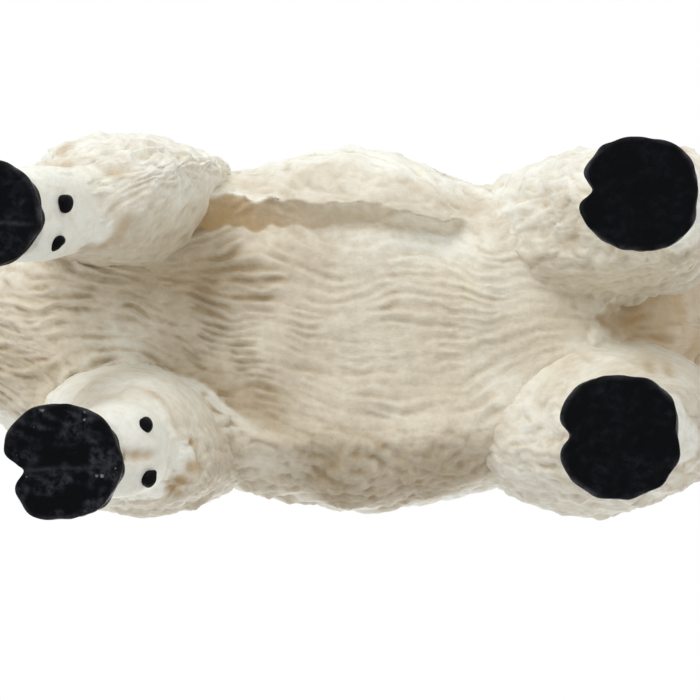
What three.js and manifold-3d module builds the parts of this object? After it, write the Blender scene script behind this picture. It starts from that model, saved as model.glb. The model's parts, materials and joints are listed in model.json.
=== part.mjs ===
// A standing long-haired white goat figurine in painted PVC.
// The mouldings plug together: each limb, horn, ear and the tail has a peg, and its neighbour has the socket.
// Millimetres. +X is forward, +Y is the goat's left and +Z is up. The soles stand on z = 0.
import * as THREE from "three";
import { ParametricGeometry } from "three/addons/geometries/ParametricGeometry.js";
import { mergeVertices } from "three/addons/utils/BufferGeometryUtils.js";
import Module from "manifold-3d";

const wasm = await Module();
wasm.setup();

// Driving dimensions
const glueGap = 0.25; // room for glue between two mouldings
const beadGap = 0.12; // room round a small bead in its cup
const left = 1;
const right = -1;

// The trunk: [x, height of the widest line, half width, top, bottom]
const trunkRear = -41;
const trunkFront = 22;
const trunkDome = 7; // length over which each end rounds off
const backBoxiness = 2.3; // 2 is an ellipse, more is squarer
const bellyBoxiness = 3.0;
const trunkStations = [
  [-41, 46, 8.2, 54, 38],
  [-36, 45, 10.4, 56.8, 33.5],
  [-30, 44, 11.4, 58, 31],
  [-22, 43, 11.3, 57.8, 29.3],
  [-13, 42, 14.0, 58, 28.3],
  [-4, 43, 12.4, 60, 28.3],
  [4, 44, 12.2, 61.8, 28.8],
  [11, 45, 10.0, 61.2, 30.5],
  [17, 46, 6.4, 58, 34],
  [22, 47, 4.8, 55, 39],
];
// The belly lies deeper than the fleece that hangs along both flanks, and less deep towards the right
const bellyRecess = { depth: 2.6, middle: 0.4, halfWidth: 9.3, edge: 2.6, rear: -25, front: 12, fade: 6 };
const rightRecess = { share: 0.5, from: -2, to: -8 };
// The hollow between the thighs widens to the rear
const groin = { depth: 3.5, middle: 0.6, halfWidth: 4.2, edge: 1.6, front: -28.5, fade: 9 };

// The fleece hangs in locks, which run down and back from the spine with a sharp parting between each two.
// Slant is the shift back per length of fall, sway bends the locks, and a smooth crown runs along the spine.
const locks = { pitch: 7.4, slant: 0.55, sway: 1.1, swayLength: 11, crown: 4, fade: 6 };
// Height of the locks, length of fall per radian from the spine, and the fall where they end
const trunkLocks = { height: 0.8, girth: 14.5, end: 26 };
const neckLocks = { height: 1.2, girth: 8, end: 26 };
const neckLocksEnd = 25; // distance along the neck

// The neck and the face, each along its own axis in the goat's middle plane: [distance, half width, up, down]
const neckRoot = new THREE.Vector3(8, 0, 50);
const neckEnd = new THREE.Vector3(29.2, 0, 61.5);
const neckStations = [
  [0, 8.0, 10.5, 13.0],
  [8, 7.0, 9.8, 13.0],
  [16, 6.3, 7.8, 10.4],
  [24, 5.5, 5.4, 6.8],
];
const neckDomes = [3, 4]; // rounding at its root and at its head end
const poll = new THREE.Vector3(26.2, 0, 64); // back of the skull
const faceLength = 22.5;
const facePitch = THREE.MathUtils.degToRad(36); // nose below the poll
const faceDomes = [4, 2.2];
const faceStations = [
  [0, 4.2, 4.0, 4.8],
  [4, 5.2, 4.8, 6.0],
  [8, 4.8, 4.2, 5.8],
  [12, 3.7, 3.1, 4.8],
  [16, 3.1, 2.5, 4.0],
  [20, 3.2, 2.5, 3.8],
  [22.5, 2.9, 2.2, 3.2],
];

// The legs: [height, share of the way from the root to the hoof, offset along X, half length, half width,
// share of the pastern's shift]
const forelegStations = [
  [5.7, 1.0, -0.7, 2.9, 2.9, 0.3],
  [8, 1.0, -2.0, 2.9, 3.3, 1],
  [10.5, 0.93, -2.3, 3.1, 3.3, 1],
  [13, 0.73, -1.9, 3.3, 3.3, 0.8],
  [15.5, 0.42, -1.6, 4.2, 4.0, 0.55],
  [18.5, 0.22, -1.1, 5.0, 4.7, 0.3],
  [22, 0.13, -0.8, 5.8, 5.1, 0.12],
  [26, 0.07, -0.5, 6.6, 5.5, 0],
  [32, 0.02, 0, 7.8, 5.9, 0],
  [40, 0, 0, 8.2, 5.8, 0],
  [48, 0, 0.5, 6.8, 4.6, 0],
  [54, 0, 1.0, 4.5, 3.4, 0],
];
const hindLegStations = [
  [5.7, 1.0, -0.4, 2.9, 2.9, 0.3],
  [8, 1.0, -0.8, 2.9, 2.9, 1],
  [10.5, 1.0, -1.4, 3.1, 3.0, 1],
  [14, 1.0, -2.4, 2.8, 2.7, 0.8],
  [17.5, 0.98, -3.4, 3.2, 3.0, 0.5],
  [20.5, 0.92, -3.6, 4.2, 3.8, 0.3],
  [25, 0.72, -2.8, 6.2, 4.9, 0.1],
  [31, 0.3, -1.2, 8.6, 5.8, 0],
  [38, 0, -0.6, 10.0, 6.0, 0],
  [46, 0, -0.4, 8.6, 4.9, 0],
  [54, 0, -1.0, 4.5, 3.4, 0],
];
const legDome = 4; // rounding at the top of a leg, inside the trunk
const ankleDome = 0.6; // rounding at its lower end, on the hoof
// Belly is the way from the leg to the belly along X
const shoulder = { x: 4, pegHeight: 40, belly: -1, stations: forelegStations };
const hip = { x: -30.2, pegHeight: 41, belly: 1, stations: hindLegStations };
// The stance, from the legs' places in the photograph: the left foreleg is a step ahead.
// Spread is the root's distance from the middle plane, and ahead is its shift along X.
// Length and girth scale the upper leg's half length and half width, and boxiness squares its rings.
// Sweep is the cut off the corner that faces the belly, on the inner side or, below 0, on the outer side.
// Pastern is its shift [x, y], hoof is the middle of the sole [x, y], and stretch is its [along, across].
// Uneven shortens the right claw's toe. ClawSpread is half the gap between the dewclaws,
// and clawShift moves both of them outwards.
const frontLeft = {
  spread: 9.6,
  ahead: 0.7,
  length: 0.9,
  girth: 0.85,
  boxiness: 3,
  sweep: 3,
  pastern: [-0.2, 0.1],
  hoof: [13.1, 7.7],
  stretch: [0.97, 0.93],
  uneven: 0,
  clawSpread: 1.4,
  clawShift: -0.6,
};
const frontRight = {
  spread: 8.4,
  ahead: 0,
  length: 1,
  girth: 1,
  boxiness: 2.4,
  sweep: 3.6,
  pastern: [-1.2, 0.6],
  hoof: [7.8, -9.4],
  stretch: [1.0, 1],
  uneven: 0.16,
  clawSpread: 1.9,
  clawShift: 0,
};
const hindLeft = {
  spread: 7.6,
  ahead: 0,
  length: 1,
  girth: 0.97,
  boxiness: 2.4,
  sweep: -2.5,
  pastern: [0, -0.4],
  hoof: [-31.9, 9.0],
  stretch: [1.05, 0.99],
  uneven: -0.04,
  clawSpread: 1.5,
  clawShift: 0,
};
const hindRight = {
  spread: 7.6,
  ahead: 0,
  length: 1,
  girth: 1.16,
  boxiness: 2.4,
  sweep: 2.5,
  pastern: [0, 0.4],
  hoof: [-30.5, -7.65],
  stretch: [1.08, 1.07],
  uneven: 0,
  clawSpread: 1.5,
  clawShift: 0,
};
const stance = [
  { name: "front_left", root: shoulder, side: left, ...frontLeft },
  { name: "front_right", root: shoulder, side: right, ...frontRight },
  { name: "hind_left", root: hip, side: left, ...hindLeft },
  { name: "hind_right", root: hip, side: right, ...hindRight },
];

// The hooves: [share of the radius, share of the height] up the wall, which leans back as it rises
const hoofRadius = 4.0;
const hoofHeight = 5.45;
const hoofLeanBack = 0.4;
const hoofProfile = [
  [0, 0],
  [0.93, 0],
  [1, 0.06],
  [0.97, 0.35],
  [0.86, 0.75],
  [0.76, 0.97],
  [0.7, 1],
  [0, 1],
];
// The clefts at the toe and the heel: depth as a share of the radius, width in radians
const hoofNotch = { depth: 0.27, width: 0.22 };
const heelNotch = { depth: 0.04, width: 0.22 };
// The outer dewclaw is set back and the inner one forward by the splay
const dewclaw = { radius: 0.62, height: 7.8, splay: 0.22, stretch: 1.25 };
const eye = { radius: 1.0, along: 7.6, up: 1.6, side: 4.4 };

// Pegs that hold the mouldings together
const hoofPeg = { radius: 1.3, from: 3.2, to: 6.8 };
const rootPeg = { radius: 2.4, inner: 6, outer: 12.6 };
const neckPeg = { radius: 3, from: 4, to: 14 };

// What grows out of the head and the trunk. The base is on the carrier's own axes [along, side, up],
// the path is [x, side, z] from that base, and a section is [share of the length, half width, half depth].
const horn = {
  base: [3.4, 2.1, 3.2],
  path: [[0, 0, 0], [0.6, 0.5, 5], [-1.2, 1.3, 10.5], [-5.6, 2.2, 15]],
  sections: [[0, 2.0, 2.1], [0.3, 1.6, 1.8], [0.7, 1.0, 1.1], [1, 0.45, 0.45]],
  across: [0, 1, 0],
  pegBase: [3.4, 1.9, 1.2],
  pegRadius: 1.0,
};
const ear = {
  base: [1.4, 3.5, 0.2],
  path: [[0, 0, 0], [-1.6, 3.4, 1.3], [-4.0, 7.4, 1.6]],
  sections: [[0, 0.9, 0.8], [0.45, 1.9, 0.75], [0.8, 1.3, 0.6], [1, 0.5, 0.4]],
  across: [0, 0, 1],
  pegBase: [1.8, 2.0, 0],
  pegRadius: 0.6,
};
const beard = {
  base: [14.5, 0, -2.6],
  path: [[0, 0, 0], [-0.4, 0, -5], [-2.6, 0, -11.5]],
  sections: [[0, 1.9, 1.7], [0.35, 2.2, 1.9], [0.75, 1.4, 1.2], [1, 0.5, 0.45]],
  across: [0, 1, 0],
  pegBase: [14.5, 0, -0.6],
  pegRadius: 0.8,
};
const tail = {
  base: [-38.2, 0, 52],
  path: [[0, 0, 0], [-3.4, 0, -0.6], [-5.0, 0, -4.5], [-5.0, 0, -9.5]],
  sections: [[0, 2.4, 2.0], [0.35, 2.8, 1.9], [0.7, 2.4, 1.5], [1, 0.9, 0.7]],
  across: [0, 1, 0],
  pegBase: [-34.5, 0, 51],
  pegRadius: 1.2,
};
const tipDome = 0.12; // share of the length over which both ends round off

// Mesh detail: [rings along, points round]
const trunkMesh = [58, 40];
const neckMesh = [24, 24];
const faceMesh = [16, 22];
const legMesh = [20, 18];
const outgrowthMesh = [11, 10];
const beadMesh = [8, 6];
const hoofSides = 36;
const pegSides = 12;

// Materials
const ivoryPaint = new THREE.MeshStandardMaterial({ color: 0xe4dcc8, roughness: 0.72, metalness: 0 });
const blackPaint = new THREE.MeshStandardMaterial({ color: 0x131419, roughness: 0.4, metalness: 0 });
const hornPaint = new THREE.MeshStandardMaterial({ color: 0x1d1a18, roughness: 0.5, metalness: 0 });
const eyePaint = new THREE.MeshStandardMaterial({ color: 0x0b0908, roughness: 0.15, metalness: 0 });

// Solids from geometry, and back
function solidOf(geometry) {
  const bare = geometry.clone();
  bare.deleteAttribute("normal");
  bare.deleteAttribute("uv");
  const merged = mergeVertices(bare, 1e-4);
  const index = merged.index.array;
  const triangles = [];
  for (let i = 0; i < index.length; i += 3) {
    const [a, b, c] = [index[i], index[i + 1], index[i + 2]];
    if (a !== b && b !== c && c !== a) triangles.push(a, b, c);
  }
  const solid = new wasm.Manifold(
    new wasm.Mesh({
      numProp: 3,
      vertProperties: merged.attributes.position.array,
      triVerts: new Uint32Array(triangles),
    }),
  );
  if (solid.volume() < 0) throw new Error("a skin is inside out");
  return solid;
}

function geometryOf(solid) {
  const mesh = solid.getMesh();
  const geometry = new THREE.BufferGeometry();
  geometry.setAttribute("position", new THREE.BufferAttribute(mesh.vertProperties, 3));
  geometry.setIndex(new THREE.BufferAttribute(mesh.triVerts, 1));
  geometry.computeVertexNormals();
  return geometry;
}

// A trim can leave slivers behind, so the piece is the largest body
function largestBody(solid) {
  return solid.decompose().reduce((best, body) => (body.volume() > best.volume() ? body : best));
}

// Shapes shared by the pieces
function smooth(rows) {
  const stride = rows[0].length - 1;
  const places = rows.map((row) => row[0]);
  const values = rows.flatMap((row) => row.slice(1));
  const interpolant = new THREE.CubicInterpolant(places, values, stride);
  return (place) => interpolant.evaluate(place);
}

// Rings run clockwise seen from their start, so that the faces point outwards
const turnAt = (v) => (v === 0 ? 0 : (1 - v) * 2 * Math.PI);
const domeAt = (distance, depth) => Math.sqrt(Math.max(0, 1 - Math.max(0, 1 - distance / depth) ** 2));
const signedPower = (value, power) => Math.sign(value) * Math.abs(value) ** power;
const ramp = (distance, length) => THREE.MathUtils.smoothstep(distance, 0, length);

// Height of the locks, about a mean of zero, at a place along the spine and an angle of the ring there
function lockHeight(along, angle, { height, girth, end }) {
  const fall = girth * Math.abs(Math.atan2(Math.cos(angle), Math.sin(angle)));
  const bend = locks.sway * Math.sin((2 * Math.PI * fall) / locks.swayLength);
  const place = (along + locks.slant * fall + bend) / locks.pitch;
  const ridge = Math.abs(Math.cos(Math.PI * place)) - 2 / Math.PI;
  return height * ridge * ramp(fall, locks.crown) * ramp(end - fall, locks.fade);
}

// A closed skin of rings from one end of an axis to the other, with more rings near the domed ends
function skin(from, to, [along, around], pointAt) {
  const place = (u) => from + ((to - from) * (1 - Math.cos(Math.PI * u))) / 2;
  const point = (u, v, target) => pointAt(place(u), turnAt(v), target);
  return solidOf(new ParametricGeometry(point, along, around));
}

// A horn, ear, beard or tail: an oval section carried along a smooth path
function taper(points, { sections, across }) {
  const curve = new THREE.CatmullRomCurve3(points);
  const sizeAt = smooth(sections);
  const flat = new THREE.Vector3(...across);
  return skin(0, 1, outgrowthMesh, (t, angle, target) => {
    const [wide, deep] = sizeAt(t);
    const close = Math.min(domeAt(t, tipDome), domeAt(1 - t, tipDome));
    const tangent = curve.getTangentAt(t);
    const depthAxis = new THREE.Vector3().crossVectors(tangent, flat).normalize();
    const widthAxis = new THREE.Vector3().crossVectors(depthAxis, tangent);
    curve.getPointAt(t, target);
    target.addScaledVector(widthAxis, wide * close * Math.cos(angle));
    target.addScaledVector(depthAxis, deep * close * Math.sin(angle));
  });
}

// A round peg between two points, and the socket it needs
function peg(from, to, radius, gap = 0) {
  const axis = new THREE.Vector3().subVectors(to, from);
  const geometry = new THREE.CylinderGeometry(radius + gap, radius + gap, axis.length() + 2 * gap, pegSides);
  const upright = new THREE.Vector3(0, 1, 0);
  geometry.applyQuaternion(new THREE.Quaternion().setFromUnitVectors(upright, axis.clone().normalize()));
  const middle = new THREE.Vector3().addVectors(from, to).multiplyScalar(0.5);
  geometry.translate(middle.x, middle.y, middle.z);
  return solidOf(geometry);
}

// An egg-shaped bead, and the cup it needs
function bead(centre, radius, stretch, gap = 0) {
  const geometry = new THREE.SphereGeometry(radius + gap, ...beadMesh);
  geometry.scale(1, 1, stretch);
  geometry.translate(centre.x, centre.y, centre.z);
  return solidOf(geometry);
}

// Trunk: the recess has a crisp brink and a soft foot
function recessDepth(x, y) {
  const within = (bellyRecess.halfWidth - Math.abs(y - bellyRecess.middle)) / bellyRecess.edge;
  const inside = 1 - (1 - THREE.MathUtils.clamp(within, 0, 1)) ** 2;
  const ends = ramp(x - bellyRecess.rear, bellyRecess.fade) * ramp(bellyRecess.front - x, bellyRecess.fade);
  const toRight = ramp(rightRecess.from - y, rightRecess.from - rightRecess.to);
  return bellyRecess.depth * inside * ends * THREE.MathUtils.lerp(1, rightRecess.share, toRight);
}

function groinDepth(x, y) {
  const opening = groin.halfWidth * ramp(groin.front - x, groin.fade);
  return groin.depth * ramp(opening - Math.abs(y - groin.middle), groin.edge);
}

function trunkSkin(gap = 0) {
  const sizeAt = smooth(trunkStations);
  return skin(trunkRear - gap, trunkFront + gap, trunkMesh, (x, angle, target) => {
    const [middle, halfWidth, top, bottom] = sizeAt(THREE.MathUtils.clamp(x, trunkRear, trunkFront));
    const close = Math.min(domeAt(x - trunkRear + gap, trunkDome), domeAt(trunkFront + gap - x, trunkDome));
    const upper = Math.sin(angle) > 0;
    const rise = upper ? top - middle : middle - bottom;
    const power = 2 / (upper ? backBoxiness : bellyBoxiness);
    const grown = gap + lockHeight(x, angle, trunkLocks);
    const y = signedPower(Math.cos(angle), power) * (halfWidth + grown) * close;
    let z = middle + signedPower(Math.sin(angle), power) * (rise + grown) * close;
    if (!upper) z += recessDepth(x, y) + groinDepth(x, y) * close;
    target.set(x, y, z);
  });
}

// Neck and face
const faceAxis = new THREE.Vector3(Math.cos(facePitch), 0, -Math.sin(facePitch));
const faceUp = new THREE.Vector3(Math.sin(facePitch), 0, Math.cos(facePitch));
function facePoint(along, side, up) {
  const point = poll.clone().addScaledVector(faceAxis, along).addScaledVector(faceUp, up);
  point.y += side;
  return point;
}

function axialSkin(origin, axis, up, length, stations, domes, mesh, gap, relief = () => 0) {
  const sizeAt = smooth(stations);
  return skin(-gap, length + gap, mesh, (s, angle, target) => {
    const [halfWidth, above, below] = sizeAt(THREE.MathUtils.clamp(s, 0, length));
    const close = Math.min(domeAt(s + gap, domes[0]), domeAt(length + gap - s, domes[1]));
    const rise = Math.sin(angle) > 0 ? above : below;
    const grown = gap + relief(s, angle);
    target.copy(origin).addScaledVector(axis, s);
    target.addScaledVector(up, Math.sin(angle) * (rise + grown) * close);
    target.y += Math.cos(angle) * (halfWidth + grown) * close;
  });
}

const neckAxis = new THREE.Vector3().subVectors(neckEnd, neckRoot).normalize();
const neckUp = new THREE.Vector3(-neckAxis.z, 0, neckAxis.x);
const neckPoint = (along) => neckRoot.clone().addScaledVector(neckAxis, along);

function neckRelief(s, angle) {
  return lockHeight(s, angle, neckLocks) * ramp(neckLocksEnd - s, locks.fade);
}

function headSkin(gap = 0) {
  const neckLength = neckRoot.distanceTo(neckEnd);
  const neckShape = [neckRoot, neckAxis, neckUp, neckLength, neckStations, neckDomes, neckMesh];
  const neck = axialSkin(...neckShape, gap, neckRelief);
  const face = axialSkin(poll, faceAxis, faceUp, faceLength, faceStations, faceDomes, faceMesh, gap);
  return neck.add(face);
}

// Legs
function legRing(leg) {
  const sizeAt = smooth(leg.root.stations);
  const rootX = leg.root.x + leg.ahead;
  const rootY = leg.side * leg.spread;
  return (z) => {
    const [share, offset, length, width, give] = sizeAt(z);
    const halfLength = length * THREE.MathUtils.lerp(leg.length, 1, share);
    const halfWidth = width * THREE.MathUtils.lerp(leg.girth, 1, share);
    const x = THREE.MathUtils.lerp(rootX, leg.hoof[0], share) + offset + leg.pastern[0] * give;
    const y = THREE.MathUtils.lerp(rootY, leg.hoof[1], share) + leg.pastern[1] * give;
    return { x, y, halfLength, halfWidth, sweep: leg.sweep * (1 - share) };
  };
}

function legSkin(leg) {
  const ringAt = legRing(leg);
  const power = 2 / leg.boxiness;
  const stations = leg.root.stations;
  const bottom = stations[0][0];
  const top = stations[stations.length - 1][0];
  return skin(bottom, top, legMesh, (z, angle, target) => {
    const ring = ringAt(z);
    const close = Math.min(domeAt(z - bottom, ankleDome), domeAt(top - z, legDome));
    const halfCut = (ring.sweep / 2) * Math.max(0, leg.root.belly * Math.cos(angle)) ** 2;
    const halfWidth = ring.halfWidth - Math.abs(halfCut);
    const x = ring.x + signedPower(Math.cos(angle), power) * ring.halfLength * close;
    const y = ring.y + (signedPower(Math.sin(angle), power) * halfWidth + leg.side * halfCut) * close;
    target.set(x, y, z);
  });
}

// Two dewclaws sit on the back of each pastern
function dewclawPlaces(leg) {
  const ring = legRing(leg)(dewclaw.height);
  return [["inner", -1], ["outer", 1]].map(([which, outward]) => {
    const aside = outward * leg.clawSpread + leg.clawShift;
    const back = (1 - Math.abs(aside / ring.halfWidth) ** leg.boxiness) ** (1 / leg.boxiness);
    const x = ring.x - ring.halfLength * back - outward * dewclaw.splay;
    return { which, place: new THREE.Vector3(x, ring.y + leg.side * aside, dewclaw.height) };
  });
}

function rootPegEnds(leg) {
  const at = (y) => new THREE.Vector3(leg.root.x, leg.side * y, leg.root.pegHeight);
  return [at(rootPeg.inner), at(rootPeg.outer)];
}

// The peg under the pastern, from the middle of the sole
function hoofPegEnds(leg) {
  const [, , offset, , , give] = leg.root.stations[0];
  const at = (z) => new THREE.Vector3(offset + leg.pastern[0] * give, leg.pastern[1] * give, z);
  return [at(hoofPeg.from), at(hoofPeg.to)];
}

// A cloven hoof about its own sole centre, with a flat sole and a wall that leans back to the coronet
function hoofSolid(leg) {
  const dip = (angle, notch) => notch.depth * Math.exp(-((angle / notch.width) ** 2));
  const wrap = (angle) => Math.atan2(Math.sin(angle), Math.cos(angle));
  const steps = hoofProfile.length - 1;
  const point = (u, v, target) => {
    const [share, rise] = hoofProfile[Math.round(u * steps)];
    const angle = turnAt(v);
    const cleft = dip(wrap(angle), hoofNotch) + dip(wrap(angle - Math.PI), heelNotch);
    const radius = hoofRadius * share * (1 - cleft);
    const shortToe = leg.uneven * ramp(-Math.sin(angle), 0.4) * Math.max(0, Math.cos(angle));
    const x = radius * leg.stretch[0] * (1 - shortToe) * Math.cos(angle) - hoofLeanBack * rise;
    target.set(x, radius * leg.stretch[1] * Math.sin(angle), hoofHeight * rise);
  };
  const block = solidOf(new ParametricGeometry(point, steps, hoofSides));
  return block.subtract(peg(...hoofPegEnds(leg), hoofPeg.radius, glueGap));
}

// A horn, ear, beard or tail on one side of its carrier, with the peg that plugs it in
function outgrowth(form, side, carrierPoint) {
  const mirrored = ([along, across, up]) => [along, side * across, up];
  const base = carrierPoint(...mirrored(form.base));
  const points = form.path.map((step) => new THREE.Vector3(...mirrored(step)).add(base));
  const pegEnds = [carrierPoint(...mirrored(form.pegBase)), points[1]];
  return { skin: taper(points, form), pegEnds, pegRadius: form.pegRadius };
}

// Assembly
const goat = new THREE.Group();

function addPiece(name, solid, material, parent = goat) {
  const mesh = new THREE.Mesh(geometryOf(solid), material);
  mesh.name = name;
  parent.add(mesh);
  return mesh;
}

// Trims a piece to its neighbour's skin, adds its peg, and gives the socket that the neighbour needs
function plugIn({ skin: piece, pegEnds, pegRadius }, neighbourSkin) {
  const trimmed = largestBody(piece.subtract(neighbourSkin));
  return { solid: trimmed.add(peg(...pegEnds, pegRadius)), socket: peg(...pegEnds, pegRadius, glueGap) };
}

const grownTrunk = trunkSkin(glueGap);
const grownHead = headSkin(glueGap);
let trunk = trunkSkin();

// The head carries its own horns, ears, eyes and beard
const neckPegEnds = [neckPoint(neckPeg.from), neckPoint(neckPeg.to)];
const headPlug = plugIn({ skin: headSkin(), pegEnds: neckPegEnds, pegRadius: neckPeg.radius }, grownTrunk);
trunk = trunk.subtract(headPlug.socket);
let head = headPlug.solid;
const headPieces = [["beard", outgrowth(beard, left, facePoint), ivoryPaint]];
for (const [word, side] of [["left", left], ["right", right]]) {
  headPieces.push([`${word}_horn`, outgrowth(horn, side, facePoint), hornPaint]);
  headPieces.push([`${word}_ear`, outgrowth(ear, side, facePoint), ivoryPaint]);
  const eyePlace = facePoint(eye.along, side * eye.side, eye.up);
  head = head.subtract(bead(eyePlace, eye.radius, 1, beadGap));
  addPiece(`${word}_eye`, bead(eyePlace, eye.radius, 1), eyePaint);
}
for (const [name, parts, material] of headPieces) {
  const plugged = plugIn(parts, grownHead);
  head = head.subtract(plugged.socket);
  addPiece(name, plugged.solid, material);
}
addPiece("head", head, ivoryPaint);

const trunkPoint = (x, y, z) => new THREE.Vector3(x, y, z);
const tailPlug = plugIn(outgrowth(tail, left, trunkPoint), grownTrunk);
trunk = trunk.subtract(tailPlug.socket);
addPiece("tail", tailPlug.solid, ivoryPaint);

// Each leg plugs into the trunk, stands in its hoof and carries two dewclaws
for (const leg of stance) {
  const limbParts = { skin: legSkin(leg), pegEnds: rootPegEnds(leg), pegRadius: rootPeg.radius };
  const legPlug = plugIn(limbParts, grownTrunk);
  trunk = trunk.subtract(legPlug.socket);
  const sole = [leg.hoof[0], leg.hoof[1], 0];
  let limb = legPlug.solid.add(peg(...hoofPegEnds(leg), hoofPeg.radius).translate(sole));
  for (const { which, place } of dewclawPlaces(leg)) {
    limb = limb.subtract(bead(place, dewclaw.radius, dewclaw.stretch, beadGap));
    addPiece(`${leg.name}_dewclaw_${which}`, bead(place, dewclaw.radius, dewclaw.stretch), blackPaint);
  }
  addPiece(`${leg.name}_leg`, limb, ivoryPaint);
  const hoof = addPiece(`${leg.name}_hoof`, hoofSolid(leg), blackPaint);
  hoof.position.set(...sole);
}
addPiece("torso", trunk, ivoryPaint);

export default goat;
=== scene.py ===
import json
import math

import bpy
import numpy as np
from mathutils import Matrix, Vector


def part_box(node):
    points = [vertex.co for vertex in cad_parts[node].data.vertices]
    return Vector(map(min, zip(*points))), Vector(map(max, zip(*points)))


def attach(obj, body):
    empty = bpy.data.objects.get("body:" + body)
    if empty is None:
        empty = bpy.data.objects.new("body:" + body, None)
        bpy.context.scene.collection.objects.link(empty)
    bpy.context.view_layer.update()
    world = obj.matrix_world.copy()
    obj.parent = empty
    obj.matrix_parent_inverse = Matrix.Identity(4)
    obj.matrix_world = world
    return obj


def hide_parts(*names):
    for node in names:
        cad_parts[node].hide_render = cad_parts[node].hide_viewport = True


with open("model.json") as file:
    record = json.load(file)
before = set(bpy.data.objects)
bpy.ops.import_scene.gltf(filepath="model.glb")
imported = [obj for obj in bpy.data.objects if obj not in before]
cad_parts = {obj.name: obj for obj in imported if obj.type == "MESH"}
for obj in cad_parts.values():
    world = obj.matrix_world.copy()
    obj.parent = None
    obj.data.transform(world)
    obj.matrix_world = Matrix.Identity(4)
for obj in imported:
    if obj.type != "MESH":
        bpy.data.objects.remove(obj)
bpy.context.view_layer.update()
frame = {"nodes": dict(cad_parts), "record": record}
mm = 0.001  # shapes below are in millimetres, meshes in metres
print("frame:", len(frame["nodes"]), "solids loaded")


# Curves and fields

# Cubic pieces through the rows of a table; each slope comes from the rows on both sides.
def throughRows(table, places):
    rows = np.asarray(table, float)
    x, y = rows[:, 0], rows[:, 1:]
    slope = np.gradient(y, x, axis=0)
    k = np.clip(np.searchsorted(x, places, side="right") - 1, 0, len(x) - 2)
    step = (x[k + 1] - x[k])[:, None]
    t = np.clip((places - x[k])[:, None] / step, 0, 1)
    start = (y[k] * (1 + 2 * t) + slope[k] * step * t) * (1 - t) ** 2
    end = (y[k + 1] * (3 - 2 * t) - slope[k + 1] * step * (1 - t)) * t ** 2
    return (start + end).T


# 0 at low and before it, 1 at high and past it, an S-curve between; low may be the larger of the two.
def ramp(value, low, high):
    t = np.clip((value - low) / (high - low), 0, 1)
    return t * t * (3 - 2 * t)


# A bell of height 1 about a middle.
def bell(value, middle, width):
    return np.exp(-((value - middle) / width) ** 2)


# An amount along x: a start, plus bells with a place, a width and an amount each.
def amountAlong(x, start, *bells):
    return start + sum(amount * bell(x, place, width) for place, width, amount in bells)


# A squarish round: a cosine and a sine drawn out towards the corners, with a boxiness of 2 for a circle.
def squarish(angle, boxiness):
    return [np.sign(wave) * np.abs(wave) ** (2 / boxiness) for wave in (np.cos(angle), np.sin(angle))]


# Share of the full ring between two rounded ends, each a quarter circle as deep as its dome.
def closing(places, low, high, domes):
    gaps = [np.clip(1 - gap / dome, 0, 1) for gap, dome in zip((places - low, high - places), domes)]
    return np.sqrt(np.clip(1 - np.maximum(*gaps) ** 2, 0, 1))


# How far along a path each of its points lies.
def pathStops(path):
    return np.concatenate([[0], np.cumsum(np.linalg.norm(np.diff(path, axis=0), axis=1))])


# Distance from points to a line between two ends.
def lineDistance(points, start, end):
    start, end = np.array(start), np.array(end)
    t = np.clip(((points - start) @ (end - start)) / ((end - start) @ (end - start)), 0, 1)
    return np.linalg.norm(points - start - t[..., None] * (end - start), axis=-1)


# Smooth hills about one size across: sine waves in seeded directions, added up.
def hills(points, size, seed):
    waves = 22
    rng = np.random.default_rng(seed)
    heading = rng.normal(size=(waves, 3))
    heading /= np.linalg.norm(heading, axis=1, keepdims=True)
    length = size * rng.uniform(0.7, 1.5, (waves, 1))
    angle = points @ (heading / length).T * 2 * math.pi + rng.uniform(0, 2 * math.pi, waves)
    return np.sin(angle).sum(-1) / math.sqrt(waves / 2)


# Points moved along their normals by a height field.
def raised(points, normal, height):
    return points + normal * height[..., None]


# A flow that sways to both sides in smooth hills.
def strayed(flow, aside, points, amount, size, seed):
    return flow + (amount * hills(points, size, seed))[..., None] * aside


# Ring grids: rows run along the piece, columns run round it, and the first and last rows are single points

# Places along an axis, even in the middle and bunched on the two rounded ends.
def alongPlaces(low, high, domes, count):
    bunch = max(5, count // 12)
    quarter = 1 - np.cos(np.linspace(0, math.pi / 2, bunch, endpoint=False))
    middle = np.linspace(low + domes[0], high - domes[1], count - 2 * bunch)
    return np.concatenate([low + domes[0] * quarter, middle, (high - domes[1] * quarter)[::-1]])


# Angles once round a squarish ring from a quarter turn before zero: even steps, or shorter ones near there.
def roundAngles(count, boxiness=2.0, crowding=0.0):
    turn = np.linspace(-math.pi / 2, 1.5 * math.pi, 20001)
    across, up = squarish(turn, boxiness)
    steps = np.hypot(np.diff(across), np.diff(up))
    steps = steps * (1 + crowding * np.clip(-np.sin(turn[1:]), 0, 1))
    total = np.concatenate([[0], np.cumsum(steps)])
    return np.interp(np.arange(count) / count * total[-1], total, turn)


# Unit tangents and normals of a ring grid, and the millimetres between its lines.
def measured(points):
    along = np.gradient(points, axis=0)
    around = (np.roll(points, -1, axis=1) - np.roll(points, 1, axis=1)) / 2
    normal = np.cross(around, along)
    normal[0], normal[-1] = normal[1].mean(0), normal[-2].mean(0)
    lengths = [np.linalg.norm(v, axis=-1, keepdims=True).clip(1e-6) for v in (along, around, normal)]
    return {
        "points": points, "along": along / lengths[0], "round": around / lengths[1],
        "normal": normal / lengths[2], "rowGap": lengths[0][..., 0], "colGap": lengths[1][..., 0],
    }


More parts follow.
